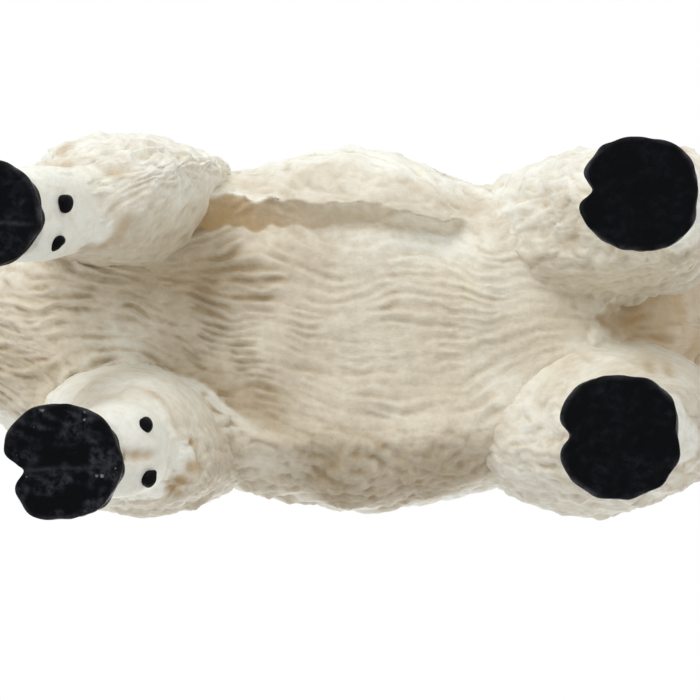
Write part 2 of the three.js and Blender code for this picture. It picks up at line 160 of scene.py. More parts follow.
# Mean of a field over a square of grid points, wrapped round the ring.
def softened(field, reach):
    for axis, mode in ((0, "edge"), (1, "wrap")):
        spread = [(0, 0), (0, 0)]
        spread[axis] = (reach + 1, reach)
        total = np.cumsum(np.pad(field, spread, mode=mode), axis=axis)
        size = field.shape[axis]
        high = np.take(total, np.arange(size) + 2 * reach + 1, axis=axis)
        field = (high - np.take(total, np.arange(size), axis=axis)) / (2 * reach + 1)
    return field


# Normals of a ring grid, each a mean over a few neighbours, so that relief doesn't fold on a sharp edge.
def easedNormals(points):
    normal = measured(points)["normal"]
    normal = np.stack([softened(normal[..., k], 5) for k in range(3)], -1)
    return normal / np.linalg.norm(normal, axis=-1, keepdims=True)


# Slope of a field per millimetre, along the rows' direction and round the ring.
def slopes(grid, field):
    aside = (np.roll(field, -1, axis=1) - np.roll(field, 1, axis=1)) / 2
    return np.gradient(field, axis=0) / grid["rowGap"], aside / grid["colGap"]


# Locks of hair over a ring grid, as a height field. A lock is a tongue from its root along the flow:
# round across, drawn in to a point, higher towards the tip, swaying and scored by strands. Where two meet
# the higher one shows.
def combed(grid, flow, look, cover, seed):
    rng = np.random.default_rng(seed)
    rows, cols = grid["rowGap"].shape
    heading = np.arctan2((flow * grid["round"]).sum(-1), (flow * grid["along"]).sum(-1))
    relief = np.zeros((rows, cols))
    rowLine = np.cumsum(grid["rowGap"].mean(axis=1))
    rowStops = np.interp(np.arange(0, rowLine[-1], look["rowGap"]), rowLine, np.arange(rows))
    for stop in rowStops:
        line = np.cumsum(grid["colGap"][int(stop)])
        count = int(line[-1] / look["gap"])
        if count < 3:
            continue
        places = (np.arange(count) + rng.random(count)) * line[-1] / count
        roots = np.interp(places, line, np.arange(cols))
        shift = (rng.random(count) - 0.5) * look["rowGap"] / grid["rowGap"][int(stop)].mean()
        for root, row in zip(roots, stop + shift):
            stampLock(relief, grid, heading, look, cover, row, root, rng)
    return relief


def stampLock(relief, grid, heading, look, cover, row, root, rng):
    rows, cols = relief.shape
    length, half, lift, sway = rng.uniform(0.7, 1.3, 4) * (
        look["length"], look["half"], look["lift"], look["sway"])
    phase, strandPhase = rng.uniform(0, 2 * math.pi, 2)
    near = int(np.clip(row, 1, rows - 2)), int(root) % cols
    lift *= cover[near]
    if lift < 0.02:
        return
    gaps = np.array([grid["rowGap"][near], grid["colGap"][near]])
    half = max(half, 1.1 * gaps.min())
    turn = heading[near] + rng.normal() * look["stray"]
    ahead, aside = math.cos(turn), math.sin(turn)
    reach = np.array([ahead, aside]) * length
    low = np.floor((row, root) + (np.minimum(0, reach) - half - sway) / gaps).astype(int)
    high = np.ceil((row, root) + (np.maximum(0, reach) + half + sway) / gaps).astype(int)
    rowSpan = np.arange(max(1, low[0]), min(rows - 1, high[0] + 1))
    colSpan = np.arange(low[1], min(high[1], low[1] + cols - 1) + 1)
    if not len(rowSpan):
        return
    dRow = (rowSpan[:, None] - row) * gaps[0]
    dCol = (colSpan[None, :] - root) * gaps[1]
    share = (dRow * ahead + dCol * aside) / length
    inside = np.clip(share, 0.001, 0.999)
    centre = sway * np.sin(2 * math.pi * inside * look["waves"] + phase)
    width = half * 1.86 * inside ** 0.4 * (1 - inside) ** 0.5
    across = (dCol * ahead - dRow * aside - centre) / width
    body = np.sqrt(np.clip(1 - across ** 2, 0, 1))
    tip = look["tipLift"]
    rise = (1 - tip) * np.sin(math.pi * inside) ** 0.5 + tip * (0.3 + 0.7 * inside)
    strands = 1 + look["score"] * np.cos(across * look["strands"] * math.pi + strandPhase)
    height = lift * rise * body * strands * ((share > 0) & (share < 1))
    patch = np.ix_(rowSpan, colSpan % cols)
    relief[patch] = np.maximum(relief[patch], height)


# Noise drawn out along a flow: each point takes the mean of what lies on a walk with the flow and one
# against it.
def streaks(grid, flow, pitch, length, seed):
    rows, cols = grid["rowGap"].shape
    reach = round(pitch / 4 / float(np.percentile(grid["colGap"], 25)))
    noise = np.random.default_rng(seed).normal(size=(rows, cols))
    noise = softened(softened(noise, reach), reach)
    noise = noise - softened(softened(noise, 3 * max(reach, 1)), 2 * max(reach, 1))
    ahead, aside = (flow * grid["along"]).sum(-1), (flow * grid["round"]).sum(-1)
    speed = np.hypot(ahead, aside).clip(1e-6)
    rowStep = ahead / speed / grid["rowGap"]
    colStep = np.clip(aside / speed / grid["colGap"], -cols / 8, cols / 8)
    total = noise.copy()
    for stride in (pitch / 3, -pitch / 3):
        row, col = np.indices(noise.shape).astype(float)
        here = np.indices(noise.shape)
        for _ in range(int(1.5 * length / pitch)):
            row, col = row + stride * rowStep[here[0], here[1]], col + stride * colStep[here[0], here[1]]
            here = np.rint(row).astype(int).clip(0, rows - 1), np.rint(col).astype(int) % cols
            total += noise[here[0], here[1]]
    return (total - total.mean()) / total.std()


# How far each point lies below its surroundings, from 0 on open ground to 1 in a groove of the given depth.
def hollows(relief, reach, depth):
    return np.clip((softened(relief, reach) - relief) / depth, 0, 1)


# Values of a grid in the order of its mesh: one for each end and all of the rings between.
def flattened(field):
    return np.concatenate([field[0, :1], field[1:-1].reshape(-1, *field.shape[2:]), field[-1, :1]])


# A new object at the origin, linked into the scene.
def placed(name, data):
    thing = bpy.data.objects.new(name, data)
    bpy.context.scene.collection.objects.link(thing)
    return thing


# A closed mesh from a ring grid: quads between the rings, a fan of triangles on each end point.
def meshFromGrid(name, points, fields, material, nodes):
    rows, cols = points.shape[:2]
    ring = np.arange((rows - 2) * cols).reshape(rows - 2, cols) + 1
    after = np.roll(ring, -1, axis=1)
    quads = np.stack([ring[:-1], after[:-1], after[1:], ring[1:]], -1).reshape(-1, 4)
    last = ring.size + 1
    startFan = np.stack([np.zeros_like(ring[0]), after[0], ring[0]], -1)
    endFan = np.stack([np.full_like(ring[0], last), ring[-1], after[-1]], -1)
    mesh = bpy.data.meshes.new(name)
    mesh.from_pydata(flattened(points) * mm, [], quads.tolist() + startFan.tolist() + endFan.tolist())
    for key, field in fields.items():
        values = flattened(field).astype(np.float32)
        mesh.attributes.new(key, "FLOAT", "POINT").data.foreach_set("value", values)
    mesh.polygons.foreach_set("use_smooth", np.ones(len(mesh.polygons), bool))
    mesh.materials.append(material)
    piece = placed(name, mesh)
    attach(piece, "root")
    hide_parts(*nodes)


# A piece in ivory paint, with the shares of wash, stain and nose colour on each point; wash and stain are
# partly painted shade.
def ivoryPiece(name, node, points, washAndShade, stainAndShade=0.0, nose=0.0):
    fields = {"washAndShade": washAndShade, "stainAndShade": stainAndShade, "nose": nose}
    fields = {key: np.clip(np.zeros(points.shape[:2]) + field, 0, 1) for key, field in fields.items()}
    meshFromGrid(name, points, fields, ivory, [node])


# Materials

# sRGB hex to the linear values that shaders take.
def linear(hexColour):
    srgb = [int(hexColour[i:i + 2], 16) / 255 for i in (1, 3, 5)]
    return [c / 12.92 if c <= 0.04045 else ((c + 0.055) / 1.055) ** 2.4 for c in srgb] + [1.0]


# Adds a node with its properties; each input is linked to a socket or set to a value.
def addNode(tree, kind, properties=None, inputs=None):
    node = tree.nodes.new(kind)
    for key, value in (properties or {}).items():
        setattr(node, key, value)
    for key, value in (inputs or {}).items():
        if isinstance(value, bpy.types.NodeSocket):
            tree.links.new(value, node.inputs[key])
        else:
            node.inputs[key].default_value = value
    return node


# One step of arithmetic on sockets or values.
def reckoned(tree, operation, *values, clamp=False):
    properties = {"operation": operation, "use_clamp": clamp}
    return addNode(tree, "ShaderNodeMath", properties, dict(enumerate(values))).outputs["Value"]


# A value carried from one range to another.
def mapped(tree, value, fromRange, toRange):
    keys = ("From Min", "From Max", "To Min", "To Max")
    inputs = {"Value": value, **dict(zip(keys, (*fromRange, *toRange)))}
    return addNode(tree, "ShaderNodeMapRange", None, inputs).outputs["Result"]


# One colour over another by a factor; a colour is a hex string or a socket.
def layered(tree, factor, under, over):
    under, over = [linear(c) if isinstance(c, str) else c for c in (under, over)]
    inputs = {0: factor, 6: under, 7: over}
    return addNode(tree, "ShaderNodeMix", {"data_type": "RGBA"}, inputs).outputs[2]


# Noise with features of some millimetres, spread from its middle values to a range.
def mottle(tree, place, size, detail, low, high):
    inputs = {"Vector": place, "Scale": 1 / (size * mm), "Detail": detail, "Roughness": 0.65}
    noise = addNode(tree, "ShaderNodeTexNoise", None, inputs)
    return mapped(tree, noise.outputs["Fac"], (0.3, 0.7), (low, high))


def fieldOf(tree, key):
    return addNode(tree, "ShaderNodeAttribute", {"attribute_name": key}).outputs["Fac"]


def objectPlace(tree):
    return addNode(tree, "ShaderNodeTexCoord").outputs["Object"]


def newMaterial(name):
    material = bpy.data.materials.new(name)
    material.use_nodes = True
    material.node_tree.nodes.clear()
    return material, material.node_tree


def finishMaterial(tree, inputs):
    shader = addNode(tree, "ShaderNodeBsdfPrincipled", None, inputs)
    addNode(tree, "ShaderNodeOutputMaterial", None, {"Surface": shader.outputs["BSDF"]})


def finishPaint(tree, colour, roughness, specular, height, depth):
    bump = addNode(tree, "ShaderNodeBump", None, {"Height": height, "Strength": 1.0, "Distance": depth * mm})
    finishMaterial(tree, {"Base Color": colour, "Roughness": roughness, "Specular IOR Level": specular,
                          "Normal": bump.outputs["Normal"]})


# Ivory acrylic on moulded PVC: matt, dry-brushed paler on the crests, with a tan wash left in the hollows;
# the tan and the brown stain are also painted shade in hollows and on faces turned from the light.
ivoryLook = {
    "crest": "#f6f6ec", "coat": "#dfd7c5", "washAndShade": "#a8977b", "stainAndShade": "#bf9d69", "nose": "#6b5a52",
    "coatAt": 0.35,  # the share of wash at which the plain coat shows
    "wander": 0.12, "wanderSize": 0.9,  # how unevenly the wash lies
    "blotch": "#e4dab8", "blotchSize": 4.0, "blotchRange": (-0.3, 0.32), "blotchOnWash": -0.3,
    "grain": 0.3, "grainDepth": 0.03, "roughness": 0.62, "specular": 0.22,
}


def ivoryPaint():
    look = ivoryLook
    material, tree = newMaterial("ivoryAcrylicOnPvc")
    place = objectPlace(tree)
    uneven = mottle(tree, place, look["wanderSize"], 4.0, -look["wander"], look["wander"])
    amount = reckoned(tree, "ADD", fieldOf(tree, "washAndShade"), uneven, clamp=True)
    layers = addNode(tree, "ShaderNodeValToRGB", None, {"Fac": amount})
    stops = layers.color_ramp.elements
    stops[0].color, stops[1].color = linear(look["crest"]), linear(look["washAndShade"])
    stops.new(look["coatAt"]).color = linear(look["coat"])
    blotch = mottle(tree, place, look["blotchSize"], 3.0, *look["blotchRange"])
    soft = reckoned(tree, "MULTIPLY_ADD", amount, look["blotchOnWash"], blotch, clamp=True)
    colour = layered(tree, soft, layers.outputs["Color"], look["blotch"])
    colour = layered(tree, fieldOf(tree, "stainAndShade"), colour, look["stainAndShade"])
    colour = layered(tree, fieldOf(tree, "nose"), colour, look["nose"])
    grain = mottle(tree, place, look["grain"], 3.0, 0.0, 1.0)
    finishPaint(tree, colour, look["roughness"], look["specular"], grain, look["grainDepth"])
    return material


# Black enamel brushed on PVC: satin, with a pale film in patches that is partly dust and partly painted
# sheen, specks of dust, and a lighter grey that is wear on the horns and dewclaws and a painted highlight on
# the hooves' rims.
enamelLook = {
    "coat": "#08090c", "wearAndSheen": "#4a4a50", "wearAndSheenPatchSize": 0.7,
    "dustAndSheenFilm": "#34353b", "dustAndSheenFilmSize": 0.6, "dustAndSheenFilmRange": (-0.5, 1.3),
    "dust": "#84858c", "gritSize": 0.5, "gritPatch": 1.6, "gritRange": (-0.3, 0.45), "gritEdge": 0.2,
    "gritShare": 0.8, "brushSize": 0.8, "brushDepth": 0.05,
    "roughness": 0.42, "duller": 0.15, "glossier": 0.1, "specular": 0.035,
}


def blackEnamel(name, look):
    material, tree = newMaterial(name)
    place = objectPlace(tree)
    dustAndSheenAmount = fieldOf(tree, "dust")
    # the lighter grey is wear on the horns and dewclaws and a painted highlight on the hooves' rims
    wearAndSheenPatches = mottle(tree, place, look["wearAndSheenPatchSize"], 4.0, 0.0, 1.0)
    wearAndSheenShare = reckoned(tree, "MULTIPLY", fieldOf(tree, "wearAndSheen"), wearAndSheenPatches)
    # the pale film in patches is partly dust and partly painted sheen
    dustAndSheenFilm = mottle(tree, place, look["dustAndSheenFilmSize"], 5.0, *look["dustAndSheenFilmRange"])
    colour = layered(tree, wearAndSheenShare, look["coat"], look["wearAndSheen"])
    colour = layered(tree, reckoned(tree, "MULTIPLY", dustAndSheenAmount, dustAndSheenFilm, clamp=True), colour, look["dustAndSheenFilm"])
    gritInputs = {"Vector": place, "Scale": 1 / (look["gritSize"] * mm)}
    grit = addNode(tree, "ShaderNodeTexVoronoi", None, gritInputs).outputs["Distance"]
    patch = mottle(tree, place, look["gritPatch"], 3.0, *look["gritRange"])
    speck = reckoned(tree, "SUBTRACT", reckoned(tree, "MULTIPLY", dustAndSheenAmount, patch), grit)
    speck = mapped(tree, speck, (0, look["gritEdge"]), (0, look["gritShare"]))
    colour = layered(tree, speck, colour, look["dust"])
    satin = look["roughness"] - look["glossier"], look["roughness"] + look["duller"]
    gloss = mottle(tree, place, look["brushSize"], 5.0, *satin)
    brushed = mottle(tree, place, look["brushSize"], 5.0, 0.0, 1.0)
    finishPaint(tree, colour, gloss, look["specular"], brushed, look["brushDepth"])
    return material


# Clear gloss over a dark brown iris; the pupil is a black bar, given by half its length and half its height.
eyeLook = {"iris": "#3a2414", "pupil": "#070605", "bar": (0.62, 0.2), "roughness": 0.12,
           "coatRoughness": 0.05, "radius": 1.0, "rows": 40, "round": 64}


def glossEye():
    material, tree = newMaterial("glossEyePaint")
    colour = layered(tree, fieldOf(tree, "pupil"), eyeLook["iris"], eyeLook["pupil"])
    finishMaterial(tree, {"Base Color": colour, "Roughness": eyeLook["roughness"], "Coat Weight": 1.0,
                          "Coat Roughness": eyeLook["coatRoughness"]})
    return material


ivory = ivoryPaint()
hoofBlack = blackEnamel("blackEnamelOnPvc", enamelLook)
hornBlack = blackEnamel("hornEnamelOnPvc",
                        {**enamelLook, "coat": "#1d1a18", "wearAndSheen": "#54443a", "roughness": 0.45})
eyeGloss = glossEye()
print("materials made")


# Torso

torsoLook = {
    # x, height of the widest line, half width, top, bottom
    "stations": [
        [-41, 46, 8.2, 54, 38], [-36, 45, 10.4, 56.8, 33.5], [-30, 44, 11.4, 58, 31],
        [-22, 43, 11.3, 57.8, 29.3], [-13, 42, 14.0, 58, 28.3], [-4, 43, 12.4, 60, 28.3],
        [4, 44, 12.2, 61.8, 28.8], [11, 45, 10.0, 61.2, 30.5], [17, 46, 6.4, 58, 34], [22, 47, 4.8, 55, 39],
    ],
    "dome": 7, "backBoxiness": 2.3, "bellyBoxiness": 3.0, "rows": 310, "round": 310, "crowding": 2.4,
    "swell": 0.16, "swellSize": 6.0,
    # the belly lies deeper than the fleece along the flanks, and less deep towards the right; on the left its
    # edge is steeper, draws in and ends sooner towards the rear; the edge's scallops are [height, size, seed]
    "recess": {"depth": 2.6, "middle": 0.4, "halfWidth": 9.3, "edge": 2.6, "rear": -25, "front": 12,
               "fade": 6, "rightShare": 0.5, "right": (-2, -8), "left": (-3, 3), "steeper": 0.5,
               "steeperSpan": (-3, -8), "drawnIn": 1.3, "drawnSpan": (-5, -20), "drawnEdge": 0.75,
               "sooner": 2.5, "shorter": 2, "scallops": [(0.13, 1.4, 6), (0.2, 4.5, 7)]},
    # the right flank is a little fuller: place along x, width, by how much
    "rightFlank": (-20, 4.2, 1.25),
    # the left flank's outline dips between its tufts: place along x, width, by how much
    "leftDips": [(-5.2, 2.0, 0.25), (-13.9, 1.5, 0.4), (-20.7, 2.2, 0.25)],
    # the stained hollow between the thighs, with a ragged edge
    "groin": {"front": -28.5, "fade": 9.0, "middle": 0.6, "halfWidth": 4.2, "edge": 1.6, "depth": 3.5,
              "ragged": 0.3, "raggedSize": 2.6},
    # where the legs leave the belly: x, y, half length, half width, depth of the web of hair ahead of and
    # behind the leg's middle, how far hair fans out
    "legs": [[4.7, 9.6, 6.6, 4.8, 1.0, 1.0, 0.5], [4, -8.4, 7.2, 5.7, 1.0, 1.0, 0.1],
             [-32.4, 8.0, 8.0, 5.6, 2.6, 0.7, 0.2], [-31.9, -7.6, 8.0, 6.4, 1.0, 1.0, 0.1]],
    "webShare": 0.85,  # the webs meet the legs inside these ovals, since the legs taper downward
    # a fold of fleece from the right foreleg back along the flank: its inner edge as x, y, its height, over
    # what distance off that edge it rises and falls, where it is gone and where it is full along x
    "fold": {"edge": [[-11, -8.6], [-7.8, -8.3], [-5.1, -7.6], [-1.5, -5.1], [1, -3.6]], "height": 1.5,
             "rise": (-0.5, 0.7), "fall": (1, 7.0), "rear": (-11, -4), "front": (3, 0)},
    "bellyRidge": 0.22, "chestRidge": 0.52, "ridgePitch": 0.74, "lockPitch": 1.25, "lockRidge": 1.8,
    "flankRidge": 0.06, "hollowRidge": 0.04, "bellyFine": 0.05, "lumps": 0.14, "sunk": 0.2,
    # the ridges are fainter in the middle of the belly: x, half length, by which share
    "faint": (-12, 8, 0.35),
    # the shaded crook between the belly and the right foreleg: ends of its line, width
    "crook": ((2, -3, 0), (-6, -6.5, 0), 2.0),
    # a smooth pocket and a shaded elbow inside the left foreleg: x, half length, y, half width
    "spots": {"pocket": (4.4, 2.8, 3.6, 1.6), "elbow": (0.5, 5, 4.5, 4)},
    # the fleece beside the belly's edge: how far off, its width, its middle along x, half length
    "brink": (0.9, 2.8, -5, 18),
    # the margin of the belly beside the trough, painted paler as a highlight: y, half width
    "ledge": (6.6, 1.4),
    # where changes in the coat start and where they are full, along x, or along y for sides and z for tops
    "spans": {"chest": (-10, -3), "front": (1, 7), "tufts": (2, 9), "breast": (8, 12),
              "breastSide": (0, -3), "fading": (7, 12), "skirtSide": (-6.5, -9.5), "skirtRear": (-27, -19),
              "skirtFront": (4, -2), "skirtTop": (33, 42), "ledgeFront": (0, -16), "ledgeRear": (-24, -20),
              "troughPaler": (-6, -12)},
    # wash in the grooves, partly real wash and partly painted shade, and how much less there is of it on the
    # skirt and on the belly
    "grooveWashAndShade": (0.75, 0.3, 0.15),
    # amounts of paint along x: a start, then bells with a place, a width and an amount
    "washBelow": (0.37, (-10, 10, 0.11), (4.5, 3.5, -0.15)),
    # the trough's wash and stain on the left are partly paint and partly painted shade under the edge of the
    # flank's fleece
    "washAndShadeInTrough": (0.04, (-2.5, 4, 0.6)), "troughPaler": 0.12,
    "washOutside": (0, (-3.5, 3.5, 0.22), (-12, 7, -0.08), (-21.7, 2.5, 0.25)),
    "stainAndShadeInTrough": (0.28, (-2.5, 4, 0.25)),
    # paint in single places: the wash on the skirt, the elbow, the crook and the breast and the stain on the
    # elbow and the crook are painted shade, and less wash on the ledge is a painted highlight
    "washAndShade": {"skirt": 0.76, "elbow": 0.3, "crook": 0.25, "pocket": 0.22, "folded": -0.1, "brink": -0.06,
             "breast": 0.3, "ledge": -0.34},
    "stainAndShade": {"elbow": 0.14, "crook": 0.12, "chest": 0.05, "pocket": 0.1},
    "stainMost": 0.95,
}
# the main locks: how often they come, the shift back per length of fall, a sway, the smooth crown
mainLocks = {"pitch": 7.4, "slant": 0.55, "sway": 1.1, "swayLength": 11, "crown": 4, "fade": 6}
trunkLocks = {"height": 0.8, "girth": 14.5, "end": 26}
fleece = {"length": 5.0, "half": 1.0, "lift": 0.3, "gap": 1.3, "rowGap": 1.7, "sway": 0.35, "waves": 1.1,
          "stray": 0.25, "tipLift": 0.6, "score": 0.12, "strands": 2.2}
chestFleece = {**fleece, "length": 6.5, "half": 0.4, "lift": 0.24, "gap": 0.55, "rowGap": 1.1, "sway": 0.3,
               "waves": 0.9, "tipLift": 0.35, "stray": 0.08}


# Height of the main locks, about a mean of zero, at a place along the spine and an angle off it: ridges that
# run down and back, each with a round top and a sharp parting beside it.
def lockHeight(along, offSpine, form):
    fall = form["girth"] * np.abs(offSpine)
    bend = mainLocks["sway"] * np.sin(2 * math.pi * fall / mainLocks["swayLength"])
    place = (along + mainLocks["slant"] * fall + bend) / mainLocks["pitch"]
    ridge = np.abs(np.cos(math.pi * place)) - 2 / math.pi
    shown = ramp(fall, 0, mainLocks["crown"]) * ramp(form["end"] - fall, 0, mainLocks["fade"])
    return form["height"] * ridge * shown


# Rings across the trunk, squarer below than above, with the main locks on them. Also says how far the ends
# leave each ring open and which of its points are below the widest line.
def trunkRings():
    look = torsoLook
    low, high, domes = look["stations"][0][0], look["stations"][-1][0], (look["dome"], look["dome"])
    x = alongPlaces(low, high, domes, look["rows"])
    middle, half, top, bottom = throughRows(look["stations"], x)[..., None]
    x = x[:, None]
    angle = roundAngles(look["round"], look["bellyBoxiness"], look["crowding"])[None, :]
    close = closing(x, low, high, domes)
    upper = np.sin(angle) > 0
    aside, up = squarish(angle, np.where(upper, look["backBoxiness"], look["bellyBoxiness"]))
    grown = lockHeight(x, np.arctan2(np.cos(angle), np.sin(angle)), trunkLocks)
    rise = np.where(upper, top - middle, middle - bottom)
    place, width, fuller = look["rightFlank"]
    half = half + fuller * bell(x, place, width) * (np.cos(angle) < 0)
    for place, width, dip in look["leftDips"]:
        half = half - dip * bell(x, place, width) * (np.cos(angle) > 0)
    return x, aside * (half + grown) * close, middle + up * (rise + grown) * close, close, ~upper


# How far the belly is pressed in, where its trough on the left lies and where the flank beside that starts.
def bellyRecess(x, y, below):
    recess = torsoLook["recess"]
    scallop = 0
    for height, size, seed in recess["scallops"]:
        scallop = scallop + height * hills(x[..., None] * (1, 0, 0), size, seed)
    left = ramp(y, *recess["left"])
    drawn = recess["drawnIn"] * ramp(x, *recess["drawnSpan"]) * left
    edge = recess["edge"] - recess["steeper"] * left * ramp(x, *recess["steeperSpan"])
    edge = edge - recess["drawnEdge"] * drawn
    inside = recess["halfWidth"] - drawn + scallop - np.abs(y - recess["middle"])
    within = np.clip(inside / edge, 0, 1)
    behind = (x - recess["rear"] - recess["sooner"] * left) / (recess["fade"] - recess["shorter"] * left)
    shown = ramp(behind, 0, 1) * ramp(recess["front"] - x, 0, recess["fade"]) * below
    pressed = shown * (left * (1 - (1 - within) ** 1.3) + (1 - left) * ramp(within, 0, 1))
    trough = shown * left * ramp(within, 0, 0.1) * (0.6 + 0.4 * within) * ramp(1 - within, 0, 0.1)
    depth = recess["depth"] * (1 - (1 - recess["rightShare"]) * ramp(y, *recess["right"]))
    return depth * pressed, trough, ramp(-inside, 0, 0.8) * left * below


# The hollow between the thighs, from 0 at its edge to 1.
def groinHollow(x, y, below):
    groin = torsoLook["groin"]
    opening = groin["halfWidth"] * ramp(groin["front"] - x, 0, groin["fade"])
    ragged = groin["ragged"] * hills(np.stack([x + 0 * y, y, 0 * y], -1), groin["raggedSize"], 9)
    reach = opening + ragged * ramp(opening, 0, groin["halfWidth"])
    return ramp(reach - np.abs(y - groin["middle"]), 0, groin["edge"]) * below


# How far a web of hair draws the skin down around a leg, most of all beside it.
def legWeb(x, y, leg):
    legX, legY, halfLength, halfWidth, ahead, behind, _ = leg
    away = np.hypot((x - legX) / halfLength, (y - legY) / halfWidth) / torsoLook["webShare"]
    near = np.clip(2.2 - 1.2 * away, 0, 1)
    web = behind + (ahead - behind) * ramp(x, legX + 1, legX + 5)
    return web * (1 - np.sqrt(1 - near ** 2))


# The fold beside the right foreleg, from 0 off it to 1 on its crest.
def flankFold(x, y, below):
    fold = torsoLook["fold"]
    outward = throughRows(fold["edge"], x[:, 0])[0][:, None] - y
    folded = ramp(outward, *fold["rise"]) * (1 - ramp(outward, *fold["fall"]))
    return folded * ramp(x, *fold["rear"]) * ramp(x, *fold["front"]) * below * (y < 0)


# The trunk with belly, groin, webs and fold. The masks say where those are.
def torsoSkin():
    x, y, z, close, below = trunkRings()
    pressed, trough, outside = bellyRecess(x, y, below)
    hollow = groinHollow(x, y, below)
    z = z + pressed + torsoLook["groin"]["depth"] * hollow * close
    for leg in torsoLook["legs"]:
        z = z - legWeb(x, y, leg) * (1 - hollow) * close * below
    folded = flankFold(x, y, below)
    z = z - torsoLook["fold"]["height"] * folded
    masks = {"trough": trough, "outside": outside, "hollow": hollow, "folded": folded}
    return np.stack([np.broadcast_to(x, y.shape), y, z], -1), masks


# Hair lies back and down the flanks from a parting on the spine, and straight back below.
def torsoFlow(grid, under):
    points, normal = grid["points"], grid["normal"]
    fallen = 1 - under
    aside = 0.5 * np.sign(points[..., 1]) * np.clip(normal[..., 2], 0, 1)
    flow = np.stack([-0.6 - 0.4 * under, aside * fallen, -0.9 * fallen], -1)
    return strayed(flow, np.cross(flow, normal), points, 0.3, 5.0, 8)


# A stream that runs back past the legs: the distance from the middle, less a share that falls off with the
# square of the distance from each leg, plus the angle round it. Its level lines are where the hair lies.
def bellyStream(points, seed):
    x, y = points[..., 0], points[..., 1]
    stream = y + 0.6 * hills(points, 14.0, seed) + 0.12 * hills(points, 3.5, seed + 1)
    for legX, legY, _, halfWidth, _, _, fan in torsoLook["legs"]:
        dx, dy = x - legX, y - legY
        away = np.maximum(np.hypot(dx, dy), halfWidth)
        stream = stream - dy * (halfWidth / away) ** 2 + fan * halfWidth * np.arctan2(dy, -dx)
    return stream


# Thin wavy ridges on level lines of the stream, which fade where they crowd together.
def bellyLines(grid, stream, pitch, seed):
    points = grid["points"]
    phase = stream / pitch + 0.1 * hills(points, 2.0, seed)
    crest = np.exp(1.5 * np.cos(2 * math.pi * phase) - 1.5) - 0.37
    crowding = np.hypot(*slopes(grid, phase))
    return crest * np.clip(0.45 + 0.5 * hills(points, 3.5, seed + 1), 0, 1.2) * ramp(2.3 - crowding, 0, 0.7)


# The way that hair lies on the chest: square to the slope of the stream, and backward.
def chestFlow(grid, stream):
    along, aside = slopes(grid, stream)
    flow = grid["round"] * along[..., None] - grid["along"] * aside[..., None]
    return flow * np.where(flow[..., :1] > 0, -1, 1)


# Adds masks for the places where the coat differs from the rest.
def addTorsoPlaces(grid, at):
    look, spans, recess = torsoLook, torsoLook["spans"], torsoLook["recess"]
    x, y, z = np.moveaxis(grid["points"], -1, 0)
    down = -grid["normal"][..., 2]
    under = at["under"]
    for name, (placeX, length, placeY, width) in look["spots"].items():
        at[name] = bell(x, placeX, length) * bell(y, placeY, width) * under
    off, width, placeX, length = look["brink"]
    brink = bell(y - recess["middle"], recess["halfWidth"] + off, width) * bell(x, placeX, length)
    at["brink"] = brink * ramp(down, -0.3, 0.1)
    # the skirt is the lower right flank where it faces down, and the wash there is painted shade
    top = z + 1.8 * hills(grid["points"], 5.0, 25)
    skirt = ramp(y, *spans["skirtSide"]) * ramp(x, *spans["skirtRear"]) * ramp(x, *spans["skirtFront"])
    skirt = skirt * ramp(down, -0.6, 0.0) * (1 - ramp(top, *spans["skirtTop"]))
    at["skirt"] = skirt * (1 - 0.6 * at["folded"])
    at["chest"] = ramp(x, *spans["chest"]) * under
    # on the breast's right side the wash is painted shade
    at["breast"] = ramp(x, *spans["breast"]) * ramp(y, *spans["breastSide"]) * under
    tufted = ramp(x, *spans["tufts"]) * under * (1 - at["trough"])
    at["tufted"] = tufted * (1 - 0.9 * at["pocket"]) * (1 - 0.6 * at["breast"])
    ledge = bell(y, *look["ledge"]) * ramp(x, *spans["ledgeFront"]) * ramp(x, *spans["ledgeRear"])
    at["ledge"] = ledge * under * (1 - at["trough"])


# Locks on the flanks and the chest, ridges along the stream below, fine hair between, lumps on the skirt.
def torsoRelief(grid, at):
    look, points, under = torsoLook, grid["points"], at["under"]
    x = points[..., 0]
    flow = torsoFlow(grid, under)
    stream = bellyStream(points, 12)
    chestHair = chestFlow(grid, stream)
    locks = combed(grid, flow, fleece, (1 - 0.9 * under) * (1 - 0.8 * at["brink"]), 11)
    locks = locks + combed(grid, chestHair, chestFleece, at["tufted"], 21)
    front = ramp(x, *look["spans"]["front"])
    lines = bellyLines(grid, stream, look["ridgePitch"], 14) * (1 - front)
    lines = lines + bellyLines(grid, stream, look["lockPitch"], 24) * look["lockRidge"] * front
    lines = lines * (look["bellyRidge"] * (1 - at["chest"]) + look["chestRidge"] * at["chest"])
    faintX, faintLength, faint = look["faint"]
    lines = lines * (1 - faint * bell(x, faintX, faintLength)) * (1 - 0.85 * at["pocket"])
    lines = lines * (1 - 0.5 * ramp(x, *look["spans"]["fading"])) * under * (1 - at["skirt"])
    lines = lines * (1 - 0.8 * at["trough"]) * (1 - 0.4 * at["tufted"])
    fine = look["flankRidge"] * (1 - under) + look["hollowRidge"] * at["hollow"]
    fine = fine * streaks(grid, flow, 0.7, 4.0, 13)
    fine = fine + streaks(grid, chestHair, 0.6, 4.0, 19) * look["bellyFine"] * under * (1 - at["trough"])
    lumps = (np.abs(hills(points, 2.4, 17)) ** 0.7 - 0.7) + 0.4 * hills(points, 0.9, 18)
    return locks + lines + fine + look["lumps"] * lumps * at["skirt"]


